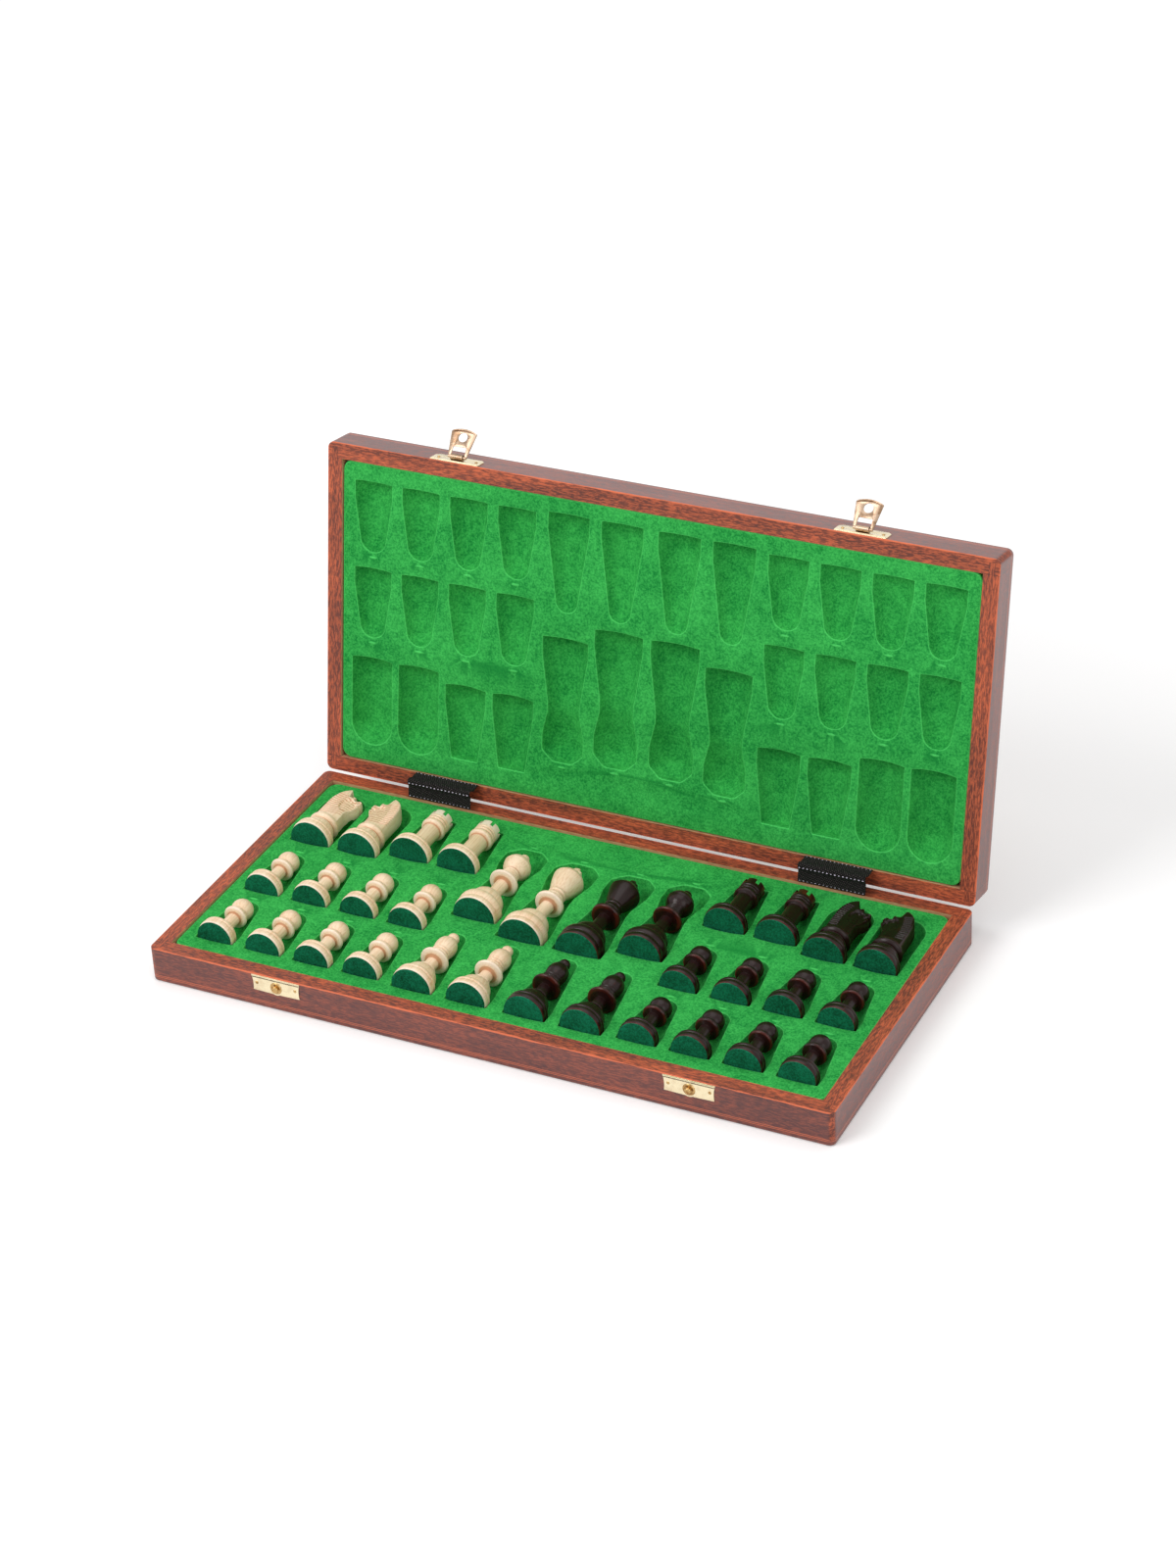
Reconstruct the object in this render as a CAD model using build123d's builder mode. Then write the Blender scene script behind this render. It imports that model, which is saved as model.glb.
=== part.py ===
from build123d import *
import os
from math import atan2, cos, pi, radians, sin

# Folding chess box: two shallow wooden trays hinged on a long edge, with a chess board on their
# outer faces and a flocked insert in each.  The men lie half sunk in the lower insert.
# Frame: origin at the centre of the lower half's underside, +X along the length, +Y towards the
# hinge, +Z up.  The lid stands open.  All sizes are millimetres and degrees.

# ---- box ----
box_length = 480.0
half_depth = 238.0          # front to back of one half
half_height = 25.0
mouth_gap = 1.0             # light gap between the two rims when the box is shut
lid_angle = 100.0           # how far the lid stands open from shut
rail_thickness = 11.0
board_thickness = 4.0
corner_radius = 4.5
board_edge_radius = 1.2
rim_edge_radius = 0.6
tenon_width = 4.0
tenon_length = 8.0

# ---- board squares on the outer faces ----
square_size = 49.5
squares_along = 8
squares_across = 4
square_thickness = 0.8
square_joint = 0.05         # between neighbouring squares
square_hinge_margin = 1.5   # plain strip between the squares and the hinge edge

# ---- flocked inserts ----
insert_recess = 1.2         # how far the insert's face lies below the rim
insert_skin = 1.0
insert_side_gap = 0.3
insert_corner_radius = 7.0
pocket_foot_gap = 0.4       # between a man's felt and his pocket's foot wall
pocket_shoulder_height = 11.0
pocket_swing_gap = 0.15     # spare room as the lid swings over the men
pocket_rook_ease = 1.9
pocket_waist_share = 0.70
pocket_waist_start = 0.52
pocket_waist_end = 0.60
pocket_bulb_start = 0.78
pocket_bulb_end = 0.92
pocket_bulb_inset = 1.6
pocket_tip_share = 0.5
POCKET_EASES = {  # between a man's foot and his pocket's wall, were he in its middle
    "pawn": 1.15, "bishop": 0.85, "rook": 0.5, "knight": 0.85, "queen": 1.4, "king": 1.9,
}
POCKET_HEAD_GAPS = {  # beyond a man's head
    "pawn": 4.5, "bishop": 4.5, "rook": 2.0, "knight": 2.5, "queen": 9.0, "king": 7.0,
}
POCKET_ARCH_SHARES = {"pawn": 0.70, "bishop": 0.54, "knight": 1.0}
man_seat_gap = 0.15         # under a man's foot as he lies on his pocket's floor

# ---- hinges, under the straps ----
fitting_offset = 145.0      # from the middle of the box to each hinge, strap and latch
hinge_length = 30.0
hinge_leaf_width = 8.0
hinge_leaf_thickness = 0.8
hinge_barrel_radius = 1.6
hinge_pin_radius = 0.7
hinge_pin_gap = 0.05
hinge_knuckle_length = 10.0
hinge_knuckle_gap = 0.15
hinge_notch_gap = 0.4
hinge_screw_spacing = 20.0
hinge_screw_head_radius = 1.7
hinge_screw_head_depth = 0.7
hinge_screw_radius = 0.8
hinge_screw_length = 7.0
screw_seat_gap = 0.02

# ---- straps that cover the hinges ----
strap_width = 48.0
strap_thickness = 0.8
strap_skin_gap = 0.05       # between the fold line and the strap's inner face
strap_end_gap = 0.3
strap_crease_trim = 2.2     # lets the folded strap lie over the hinge barrel

# ---- latches ----
plate_length = 36.0
plate_height = 11.5
plate_thickness = 0.6
plate_edge_gap = 0.5        # from the rim to a plate
plate_lip_height = 0.7
plate_lip_depth = 1.2
plate_corner_radius = 1.0
nail_spacing = 28.0
nail_head_radius = 1.2
nail_head_depth = 0.4
nail_radius = 0.6
nail_length = 7.0
flap_axis_depth = 5.5       # from the lid's rim to the flap's axis
flap_axis_height = 2.5      # above the lid's front face
flap_bar_radius = 1.0
flap_bar_gap = 0.08
roll_radius = 2.05
roll_length = 9.0
flap_thickness = 0.7
flap_root_width = 14.0
flap_tip_width = 18.0
flap_shoulder = 17.0
flap_tip = 19.0
flap_window_width = 9.8
flap_window_top = 7.2
flap_lip_height = 1.4
flap_lip_width = 0.8
flap_open_angle = 127.0     # from latched to the way the flap stands
stud_distance = 14.0        # along the flap, from its axis to its hole
stud_radius = 2.4
stud_height = 3.4
stud_boss_radius = 3.6
stud_boss_height = 0.5
stud_hole_gap = 0.9

# ---- chess men: heights, diameters, and the foot that all of them share ----
felt_thickness = 0.8
felt_glue_gap = 0.02
felt_inset = 0.6
foot_height = 5.6
foot_swell = 0.5
groove_depth = 0.8
groove_height = 0.5
step_height = 9.4
pawn_height = 44.5
pawn_base = 26.0
bishop_height = 63.5
bishop_base = 28.6
rook_height = 50.0
rook_base = 29.8
rook_cap_radius = 8.2
rook_cap_depth = 5.0        # of the bore and the notches in its top
rook_bore_radius = 5.4
rook_notches = 6
rook_notch_width = 2.6
knight_height = 57.0
knight_base = 29.6
knight_neck_radius = 9.8
knight_collar_height = 17.0
knight_head_thickness = 12.6
queen_height = 78.5
queen_base = 31.0
king_height = 88.5
king_base = 31.5

# ---- turned outlines.  Above the foot the points are (radius, height over the felt, swell of
# the run up to them); towards the head they are (radius, drop below the man's top, swell) ----
PAWN_SHOULDER = [(4.4, 16.5, -0.8)]
PAWN_HEAD = [(4.4, 18.1, 0), (7.9, 17.2, 0), (7.9, 15.0, 0.4), (5.3, 12.6, -0.4)]
BISHOP_SHOULDER = [(6.5, 20.6, 1.0), (6.5, 22.0, 0.3), (4.25, 22.8, 0)]
BISHOP_HEAD = [
    (4.25, 31.7, 0), (9.7, 30.6, 0), (9.7, 29.2, 0.3), (7.0, 27.4, 0), (7.8, 26.2, 0.3),
    (6.3, 24.0, 0), (6.8, 22.6, 0.2), (6.2, 20.6, -0.2), (7.2, 14.6, 0.5), (3.0, 6.4, 0.9),
]
ROOK_SHOULDER = [(6.4, 14.7, -0.8)]
ROOK_HEAD = [(6.4, 15.4, 0), (8.6, 14.4, 0), (8.6, 10.4, 0.4), (7.7, 9.2, 0), (8.2, 8.2, 0)]
QUEEN_SHOULDER = [(12.0, 15.0, 1.0), (11.2, 15.6, 0), (4.7, 27.0, 2.2)]
QUEEN_HEAD = [
    (4.5, 35.2, 0), (10.1, 33.9, 0), (10.1, 32.4, 0.3), (6.6, 30.2, 0), (7.2, 28.8, 0.3),
    (6.2, 26.6, 0), (6.4, 25.2, 0.2), (5.2, 22.6, 0), (9.8, 14.6, -1.3), (9.4, 13.4, 0.2),
    (2.6, 6.4, 1.6),
]
KING_SHOULDER = [(12.0, 15.0, 1.0), (11.2, 15.6, 0), (4.7, 27.0, 2.2)]
KING_HEAD = [
    (4.5, 44.8, 0), (10.1, 43.2, 0), (10.1, 41.8, 0.3), (7.0, 39.4, 0), (7.4, 37.8, 0.3),
    (6.4, 35.0, 0), (6.2, 31.0, 0), (11.0, 15.4, 0.3), (10.6, 14.0, 0.3), (2.4, 8.6, 1.6),
    (4.4, 5.4, 0.2), (1.6, 1.2, 0.3),
]
KNIGHT_SHOULDER = [(knight_neck_radius, knight_collar_height, 0.6)]
KNIGHT_FACE = [  # across from the axis towards the muzzle, and height over the felt, upwards
    (8.0, 14.0), (9.5, 28.0), (9.6, 34.8), (12.6, 42.6), (12.8, 47.8), (11.0, 50.3),
    (7.6, 50.5), (4.3, 49.6), (1.9, 50.4), (0.5, 57.0),
]
KNIGHT_NAPE = [(-2.8, 56.2), (-6.5, 49.2), (-7.8, 36.7), (-8.0, 14.0)]

# ---- how the men lie: the widest man of each column, from the middle outwards, and the gaps at
# the middle, between the columns' pockets and at the side rail.  All gaps stretch with the box ----
COLUMN_MEN = ["king", "queen", "rook", "rook", "knight", "knight"]
COLUMN_GAPS = [2.85, 4.45, 5.7, 5.2, 4.95, 4.7, 7.85]
PAWN_COLUMN = [13.6, 12.1]  # gaps before and between a column's two pawns' pockets
STACKS = [  # each column's men from the front, with the gaps before, between and behind them
    (["bishop", "king"], [11.6, 7.6, 32.5]),
    (["bishop", "queen"], [11.6, 19.1, 29.0]),
    (["pawn", "pawn", "rook"], PAWN_COLUMN + [23.1, 16.0]),
    (["pawn", "pawn", "rook"], PAWN_COLUMN + [23.1, 16.0]),
    (["pawn", "pawn", "knight"], PAWN_COLUMN + [16.1, 15.5]),
    (["pawn", "pawn", "knight"], PAWN_COLUMN + [16.1, 15.5]),
]

# ---- worked out from the above ----
inner_length = box_length - 2 * rail_thickness
inner_depth = half_depth - 2 * rail_thickness
rail_height = half_height - board_thickness
hinge_y = half_depth / 2 + mouth_gap / 2      # the hinge axis, in a half's own frame
hinge_z = mouth_gap / 2                       # above the rim
strap_span = rail_thickness + mouth_gap / 2   # from the hinge axis to a rim's inner edge
TURN = radians(lid_angle)

os.makedirs("parts", exist_ok=True)


def save(builder, name):
    """Names the finished sub-part and writes it."""
    builder.part.label = name
    export_step(builder.part, f"parts/{name}.step")


# A half's own frame: origin at the middle of its rim, x along the length, y towards the hinge,
# z out of its mouth.  The lid's frame is the base's, turned about the hinge.
base_mouth = Plane(origin=(0, 0, half_height), x_dir=(1, 0, 0), z_dir=(0, 0, 1))
hinge_point = Vector(0, hinge_y, half_height + hinge_z)
lid_to_hinge = Vector(0, cos(TURN), -sin(TURN))
lid_normal = Vector(0, -sin(TURN), -cos(TURN))
lid_mouth = Plane(
    origin=hinge_point - lid_to_hinge * hinge_y - lid_normal * hinge_z,
    x_dir=(-1, 0, 0),
    z_dir=lid_normal,
)


def front_of(mouth):
    """The front face of a half: x along the length, y towards the rim, z outwards."""
    return Plane(
        origin=mouth.from_local_coords((0, -half_depth / 2, 0)),
        x_dir=mouth.x_dir,
        z_dir=-mouth.y_dir,
    )


def side_of(mouth, x, y, z):
    """A plane across the length at a point of a half: x towards the hinge, y out of the mouth."""
    return Plane(
        origin=mouth.from_local_coords((x, y, z)), x_dir=mouth.y_dir, z_dir=mouth.x_dir
    )


# ---------------------------------------------------------------- wooden halves
def board_panel(mouth, name):
    """The board: a thin panel over the whole half, with a recess for the inlaid squares."""
    outside = mouth.offset(-half_height)
    with BuildPart() as panel:
        with BuildSketch(outside):
            RectangleRounded(box_length, half_depth, corner_radius)
        extrude(amount=board_thickness)
        outer_face = panel.faces().sort_by(Axis(outside.origin, outside.z_dir))[0]
        fillet(outer_face.edges(), board_edge_radius)
        with BuildSketch(outside):
            with Locations((0, squares_middle())):
                Rectangle(squares_along * square_size, squares_across * square_size)
        extrude(amount=square_thickness, mode=Mode.SUBTRACT)
    save(panel, name)


def squares_middle():
    """Where the squares' middle lies across a half."""
    return half_depth / 2 - square_hinge_margin - squares_across * square_size / 2


def board_squares(mouth, dark, name):
    """The dark or the light veneer squares of one half."""
    with BuildPart() as squares:
        with BuildSketch(mouth.offset(-half_height)):
            for column in range(squares_along):
                for row in range(squares_across):
                    if (column + row) % 2 == dark:
                        x = (column - (squares_along - 1) / 2) * square_size
                        y = squares_middle() + (row - (squares_across - 1) / 2) * square_size
                        with Locations((x, y)):
                            Rectangle(square_size - square_joint, square_size - square_joint)
        extrude(amount=square_thickness)
    save(squares, name)


def rail_outline():
    """The frame's outer outline, in a sketch."""
    RectangleRounded(box_length, half_depth, corner_radius)


def tenon_places():
    """The four tenons' middles, at the rails' corners."""
    x = (box_length - rail_thickness) / 2
    y = (half_depth - 2 * rail_thickness + tenon_length) / 2
    return [(-x, -y), (x, -y), (-x, y), (x, y)]


def long_rail(mouth, side, name):
    """The front (side -1) or back (side 1) rail, slotted at its ends for the side rails."""
    with BuildPart() as rail:
        with BuildSketch(mouth.offset(-rail_height)):
            rail_outline()
            with Locations((0, side * (half_depth - rail_thickness) / 2)):
                Rectangle(box_length, rail_thickness, mode=Mode.INTERSECT)
            with Locations(*tenon_places()):
                Rectangle(tenon_width, tenon_length, mode=Mode.SUBTRACT)
        extrude(amount=rail_height)
        long_edges = rail.edges().filter_by(Axis.X).filter_by(
            lambda edge: edge.length > inner_length
        )
        rim_edges = long_edges.group_by(Axis(mouth.origin, mouth.z_dir))[-1]
        fillet(rim_edges.sort_by(Axis(mouth.origin, mouth.y_dir * side))[-1], rim_edge_radius)
        if side > 0:
            for place in (-fitting_offset, fitting_offset):
                cut_hinge_seat(mouth, place)
        else:
            cut_nail_holes(mouth)
    save(rail, name)


def cut_hinge_seat(mouth, place):
    """Cuts a back rail for one hinge: the leaf's mortise, the barrel's notch, the screw holes."""
    with BuildSketch(mouth) as mortise:
        with Locations((place, (half_depth - hinge_leaf_width) / 2)):
            Rectangle(hinge_length, hinge_leaf_width)
    extrude(mortise.sketch, amount=-hinge_leaf_thickness, mode=Mode.SUBTRACT)
    with BuildSketch(side_of(mouth, place, hinge_y, hinge_z)) as notch:
        Circle(hinge_barrel_radius + hinge_notch_gap)
    notch_reach = hinge_length / 2 + hinge_notch_gap
    extrude(notch.sketch, amount=notch_reach, both=True, mode=Mode.SUBTRACT)
    with BuildSketch(mouth) as pilots:
        with Locations(*hinge_screw_places(place)):
            Circle(hinge_screw_radius)
    extrude(pilots.sketch, amount=-hinge_screw_length, mode=Mode.SUBTRACT)


def hinge_screw_places(place):
    """The screws of one leaf, in the plane of the rim."""
    y = (half_depth - hinge_leaf_width) / 2
    return [(place - hinge_screw_spacing / 2, y), (place + hinge_screw_spacing / 2, y)]


def plate_middle():
    """How far a latch plate's middle lies from the rim."""
    return -plate_edge_gap - plate_height / 2


def nail_places():
    """The latch plates' nails on a front face."""
    return [
        (place + end * nail_spacing / 2, plate_middle())
        for place in (-fitting_offset, fitting_offset)
        for end in (-1, 1)
    ]


def cut_nail_holes(mouth):
    """Bores a front rail for the latch plate's nails."""
    with BuildSketch(front_of(mouth)) as holes:
        with Locations(*nail_places()):
            Circle(nail_radius)
    extrude(holes.sketch, amount=-nail_length, mode=Mode.SUBTRACT)


def side_rail(mouth, side, name):
    """The left (side -1) or right (side 1) rail as the half's frame has it, with its tenons."""
    with BuildPart() as rail:
        with BuildSketch(mouth.offset(-rail_height)):
            with Locations((side * (box_length - rail_thickness) / 2, 0)):
                Rectangle(rail_thickness, inner_depth)
            with Locations(*[p for p in tenon_places() if p[0] * side > 0]):
                Rectangle(tenon_width, tenon_length)
        extrude(amount=rail_height)
        cross_edges = rail.edges().filter_by(
            lambda edge: edge.length > inner_depth - rail_thickness
        )
        rim_edges = cross_edges.group_by(Axis(mouth.origin, mouth.z_dir))[-1]
        fillet(rim_edges.sort_by(Axis(mouth.origin, mouth.x_dir * side))[-1], rim_edge_radius)
    save(rail, name)


# ---------------------------------------------------------------- men and their pockets
def arc_to(start, end, bulge):
    """An arc from start to end; a positive bulge swells away from the man's axis."""
    if start[1] > end[1]:
        bulge = -bulge
    SagittaArc(start, end, -bulge)


def run_through(start, points):
    """Lines and arcs from start through points of (radius, height, swell); returns the last."""
    for radius, height, swell in points:
        end = (radius, height)
        if swell:
            arc_to(start, end, swell)
        else:
            Line(start, end)
        start = end
    return start


def foot_outline(radius):
    """The part that all men share: felt seat, foot, groove and step.  Returns its last point."""
    seat = radius - felt_inset
    Polyline((0, felt_thickness), (seat, felt_thickness))
    return run_through(
        (seat, felt_thickness),
        [
            (radius - foot_swell, foot_height, foot_swell),
            (radius - groove_depth, foot_height, 0),
            (radius - groove_depth, foot_height + groove_height, 0),
            (radius - foot_swell, foot_height + groove_height, 0),
            (radius - groove_depth - foot_swell, step_height, foot_swell / 2),
        ],
    )


def ball(start, height):
    """A ball from the stem's edge up to the man's top, on his axis."""
    rise = height - start[1]
    radius = (rise * rise + start[0] * start[0]) / (2 * rise)
    middle = height - radius
    halfway = (atan2(start[1] - middle, start[0]) + pi / 2) / 2
    ThreePointArc(
        start, (radius * cos(halfway), middle + radius * sin(halfway)), (0, height)
    )


def turned_outline(kind):
    """A man's outline from his felt to his top, in a sketch's line."""
    height, base_radius = MAN_SIZES[kind]
    shoulder, head = MAN_TURNS[kind]
    last = run_through(foot_outline(base_radius), shoulder)
    last = run_through(last, [(radius, height - drop, swell) for radius, drop, swell in head])
    if kind == "rook":
        Polyline(
            last,
            (rook_cap_radius, height),
            (rook_bore_radius, height),
            (rook_bore_radius, height - rook_cap_depth),
            (0, height - rook_cap_depth),
        )
    elif kind == "knight":
        Line(last, (0, last[1]))
    else:
        ball(last, height)


def knight_head(facing):
    """The horse's head and neck in side view; facing 1 looks along +x."""
    stretch = knight_height / KNIGHT_FACE[-1][1]
    outline = [(facing * x, stretch * up) for x, up in KNIGHT_FACE + KNIGHT_NAPE]
    Polygon(*outline, align=None)


MAN_TURNS = {  # shoulder and head
    "pawn": (PAWN_SHOULDER, PAWN_HEAD),
    "bishop": (BISHOP_SHOULDER, BISHOP_HEAD),
    "rook": (ROOK_SHOULDER, ROOK_HEAD),
    "knight": (KNIGHT_SHOULDER, []),
    "queen": (QUEEN_SHOULDER, QUEEN_HEAD),
    "king": (KING_SHOULDER, KING_HEAD),
}
MAN_SIZES = {  # height over the felt, base radius
    "pawn": (pawn_height, pawn_base / 2),
    "bishop": (bishop_height, bishop_base / 2),
    "rook": (rook_height, rook_base / 2),
    "knight": (knight_height, knight_base / 2),
    "queen": (queen_height, queen_base / 2),
    "king": (king_height, king_base / 2),
}
LATHE_TOPS = {"rook": rook_height - rook_cap_depth, "knight": knight_collar_height}
POCKET_SIZES = {  # half width at the foot, and length from the felt
    kind: (radius + POCKET_EASES[kind], height + POCKET_HEAD_GAPS[kind])
    for kind, (height, radius) in MAN_SIZES.items()
}


def lying_plane(mouth, x, y, drop):
    """The level plane through a pocket's axis, or drop below it: x across, y from felt to head."""
    return Plane(
        origin=mouth.from_local_coords((x, y, hinge_z - drop)),
        x_dir=mouth.x_dir,
        z_dir=mouth.z_dir,
    )


def across(level, height):
    """The plane square to a man's axis, at a height over his felt; it faces his head."""
    return Plane(
        origin=level.from_local_coords((0, height, 0)), x_dir=level.x_dir, z_dir=level.y_dir
    )


def chess_man(kind, x, y, facing, name):
    """One man, lying on his pocket's floor with his felt towards the front: wood and felt."""
    height, base_radius = MAN_SIZES[kind]
    level = lying_plane(base_mouth, x, y, POCKET_EASES[kind] - man_seat_gap)
    with BuildPart() as man:
        with BuildSketch(level):
            with BuildLine():
                turned_outline(kind)
                Line((0, LATHE_TOPS.get(kind, height)), (0, felt_thickness))
            make_face()
        revolve(axis=Axis(level.origin, level.y_dir))
        if kind == "knight":
            with BuildSketch(level):
                knight_head(facing)
            extrude(amount=knight_head_thickness / 2, both=True)
        if kind == "rook":
            with BuildSketch(across(level, height)):
                for turn in range(0, 180, 180 // rook_notches * 2):
                    Rectangle(3 * rook_cap_radius, rook_notch_width, rotation=turn)
            extrude(amount=-rook_cap_depth, mode=Mode.SUBTRACT)
        with BuildSketch(across(level, 0)):
            Circle(base_radius - felt_inset)
        extrude(amount=felt_thickness - felt_glue_gap)
    save(man, name)


def pocket_outline(kind, grow):
    """Half the outline of a man's pocket, to be turned about its axis; grow makes it larger."""
    half_width, length = POCKET_SIZES[kind]
    radius = half_width + grow
    end = length + grow
    corner = (radius, pocket_shoulder_height)
    Polyline((radius, -pocket_foot_gap - grow), corner)
    if kind == "rook":
        top = rook_cap_radius + pocket_rook_ease + grow
        Polyline(corner, (top, end), (0, end))
    elif kind in ("queen", "king"):
        bulb = radius - pocket_bulb_inset
        waist = radius * pocket_waist_share
        Polyline(
            corner,
            (waist, length * pocket_waist_start),
            (waist, length * pocket_waist_end),
            (bulb, length * pocket_bulb_start),
            (bulb, length * pocket_bulb_end),
            (bulb * pocket_tip_share, end),
            (0, end),
        )
    else:
        arch = half_width * POCKET_ARCH_SHARES[kind] + grow
        spring = (arch, end - arch)
        Line(corner, spring)
        halfway = pi / 4
        ThreePointArc(
            spring, (arch * cos(halfway), end - arch + arch * sin(halfway)), (0, end)
        )


def pocket(kind, relief, grow):
    """A pocket's full turned envelope about its own axis, the man's felt at the origin."""
    half_width, length = POCKET_SIZES[kind]
    near = -pocket_foot_gap - grow
    with BuildPart() as envelope:
        with BuildSketch():
            with BuildLine():
                pocket_outline(kind, grow)
                Line((0, length + grow), (0, near - relief))
                SagittaArc((0, near - relief), (half_width + grow, near), -relief / 4)
            make_face()
        revolve(axis=Axis.Y)
    return envelope.part


def insert(mouth, name):
    """A flocked insert: a thin moulded sheet with a skirt and a half-round pocket for every man."""
    with BuildPart() as tray:
        with BuildSketch(mouth.offset(-rail_height)):
            insert_rectangle(0)
            insert_rectangle(insert_skin, mode=Mode.SUBTRACT)
        extrude(amount=rail_height - insert_recess)
        with BuildSketch(mouth.offset(-insert_recess)):
            insert_rectangle(0)
        extrude(amount=-insert_skin)
        add(placed_pockets(mouth, insert_skin))
        with BuildSketch(mouth.offset(-insert_recess)):
            Rectangle(box_length, half_depth)
        extrude(amount=half_height, mode=Mode.SUBTRACT)
        add(placed_pockets(mouth, 0), mode=Mode.SUBTRACT)
    save(tray, name)


def insert_rectangle(inset, mode=Mode.ADD):
    """The insert's outline, or one inside it, in a sketch."""
    RectangleRounded(
        inner_length - 2 * insert_side_gap - 2 * inset,
        inner_depth - 2 * insert_side_gap - 2 * inset,
        insert_corner_radius - inset,
        mode=mode,
    )


def placed_pockets(mouth, grow):
    """Every man's pocket in one half's insert.  A pocket's foot wall is domed, so that the men's
    feet clear it as the lid swings; nearer the hinge it needs more of a dome."""
    pockets = []
    for kind, x, y in PLACES:
        half_width, _ = POCKET_SIZES[kind]
        relief = half_width**2 / (2 * (hinge_y - y)) + pocket_swing_gap
        pockets.append(pocket(kind, relief, grow).moved(lying_plane(mouth, x, y, 0).location))
    return pockets


def spread(room, sizes, gaps):
    """Where each of the sizes starts, laid one after another with the gaps before, between and
    behind them, the gaps stretched alike so that all fill the room."""
    stretch = (room - sum(sizes)) / sum(gaps)
    return [sum(sizes[:i]) + stretch * sum(gaps[: i + 1]) for i in range(len(sizes))]


def men_of_half():
    """One half's men as (kind, column number, column, row), from the hinge side to the front and
    from the middle outwards."""
    widths = [2 * POCKET_SIZES[kind][0] for kind in COLUMN_MEN]
    edges = spread(inner_length / 2, widths, COLUMN_GAPS)
    men = []
    for place, (kinds, gaps) in enumerate(STACKS):
        lengths = [POCKET_SIZES[kind][1] + pocket_foot_gap for kind in kinds]
        starts = spread(inner_depth, lengths, gaps)
        for depth, (kind, start) in enumerate(reversed(list(zip(kinds, starts)))):
            middle = edges[place] + widths[place] / 2
            row = start + pocket_foot_gap - inner_depth / 2
            men.append((depth, place, kind, middle, row))
    return [(kind, place, middle, row) for _, place, kind, middle, row in sorted(men)]


MEN = men_of_half()
PLACES = [(kind, side * middle, row) for side in (-1, 1) for kind, _, middle, row in MEN]


def chess_men():
    """The light men on the left and the dark men on the right."""
    outermost = len(COLUMN_MEN) - 1
    for side, colour in ((-1, "light"), (1, "dark")):
        made = {}
        for kind, place, middle, row in MEN:
            made[kind] = made.get(kind, 0) + 1
            single = kind in ("king", "queen")
            name = f"{colour}_{kind}" if single else f"{colour}_{kind}_{made[kind]}"
            facing = 1 if (place == outermost) == (side < 0) else -1
            chess_man(kind, side * middle, row, facing, name)


# ---------------------------------------------------------------- hinges and straps
def hinge_leaves(mouth, knuckles, name):
    """The leaves of both hinges on one half; knuckles lists where this half's knuckles sit."""
    others = [k for k in (-1, 0, 1) if k not in knuckles]
    pitch = hinge_knuckle_length
    with BuildPart() as leaves:
        for place in (-fitting_offset, fitting_offset):
            with BuildSketch(mouth):
                with Locations((place, (half_depth - hinge_leaf_width + mouth_gap) / 2)):
                    Rectangle(hinge_length, hinge_leaf_width + mouth_gap)
            extrude(amount=-hinge_leaf_thickness)
            for knuckle in others:
                with BuildSketch(side_of(mouth, place + knuckle * pitch, hinge_y, hinge_z)):
                    Circle(hinge_barrel_radius + hinge_notch_gap / 2)
                extrude(amount=pitch / 2 + hinge_knuckle_gap, both=True, mode=Mode.SUBTRACT)
            for knuckle in knuckles:
                with BuildSketch(side_of(mouth, place + knuckle * pitch, hinge_y, hinge_z)):
                    Circle(hinge_barrel_radius)
                extrude(amount=pitch / 2 - hinge_knuckle_gap, both=True)
            with BuildSketch(side_of(mouth, place, hinge_y, hinge_z)):
                Circle(hinge_pin_radius + hinge_pin_gap)
            extrude(amount=hinge_length, both=True, mode=Mode.SUBTRACT)
            with BuildSketch(mouth):
                with Locations(*hinge_screw_places(place)):
                    Circle(hinge_screw_head_radius + screw_seat_gap)
            extrude(amount=-hinge_leaf_thickness, mode=Mode.SUBTRACT)
    save(leaves, name)


def hinge_pins(name):
    """The two hinge pins."""
    with BuildPart() as pins:
        for place in (-fitting_offset, fitting_offset):
            with BuildSketch(side_of(base_mouth, place, hinge_y, hinge_z)):
                Circle(hinge_pin_radius)
            extrude(amount=hinge_length / 2, both=True)
    save(pins, name)


def strap_flap(fold_line, length_from, length_to, name):
    """Both straps' lower or upper half.  The plane lies along the strap, x along the hinge,
    y from the strap's seat to its crease or back, z out of its outer face."""
    with BuildPart() as flap:
        with BuildSketch(fold_line.offset(strap_skin_gap)):
            with Locations(
                (-fitting_offset, (length_from + length_to) / 2),
                (fitting_offset, (length_from + length_to) / 2),
            ):
                Rectangle(strap_width, length_to - length_from)
        extrude(amount=strap_thickness)
    save(flap, name)


# The strap folds like half of a parallelogram: its lower half turns at the base rim's inner edge
# and stays parallel to the lid's rim, and its upper half stays parallel to the base's rim.
strap_seat = Vector(0, hinge_y - strap_span, half_height + hinge_z)
lower_run = -lid_to_hinge * strap_span
strap_crease = strap_seat + lower_run
lower_strap_plane = Plane(origin=strap_seat, x_dir=(1, 0, 0), z_dir=lid_normal)
upper_strap_plane = Plane(origin=strap_crease, x_dir=(1, 0, 0), z_dir=(0, 0, 1))


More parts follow.
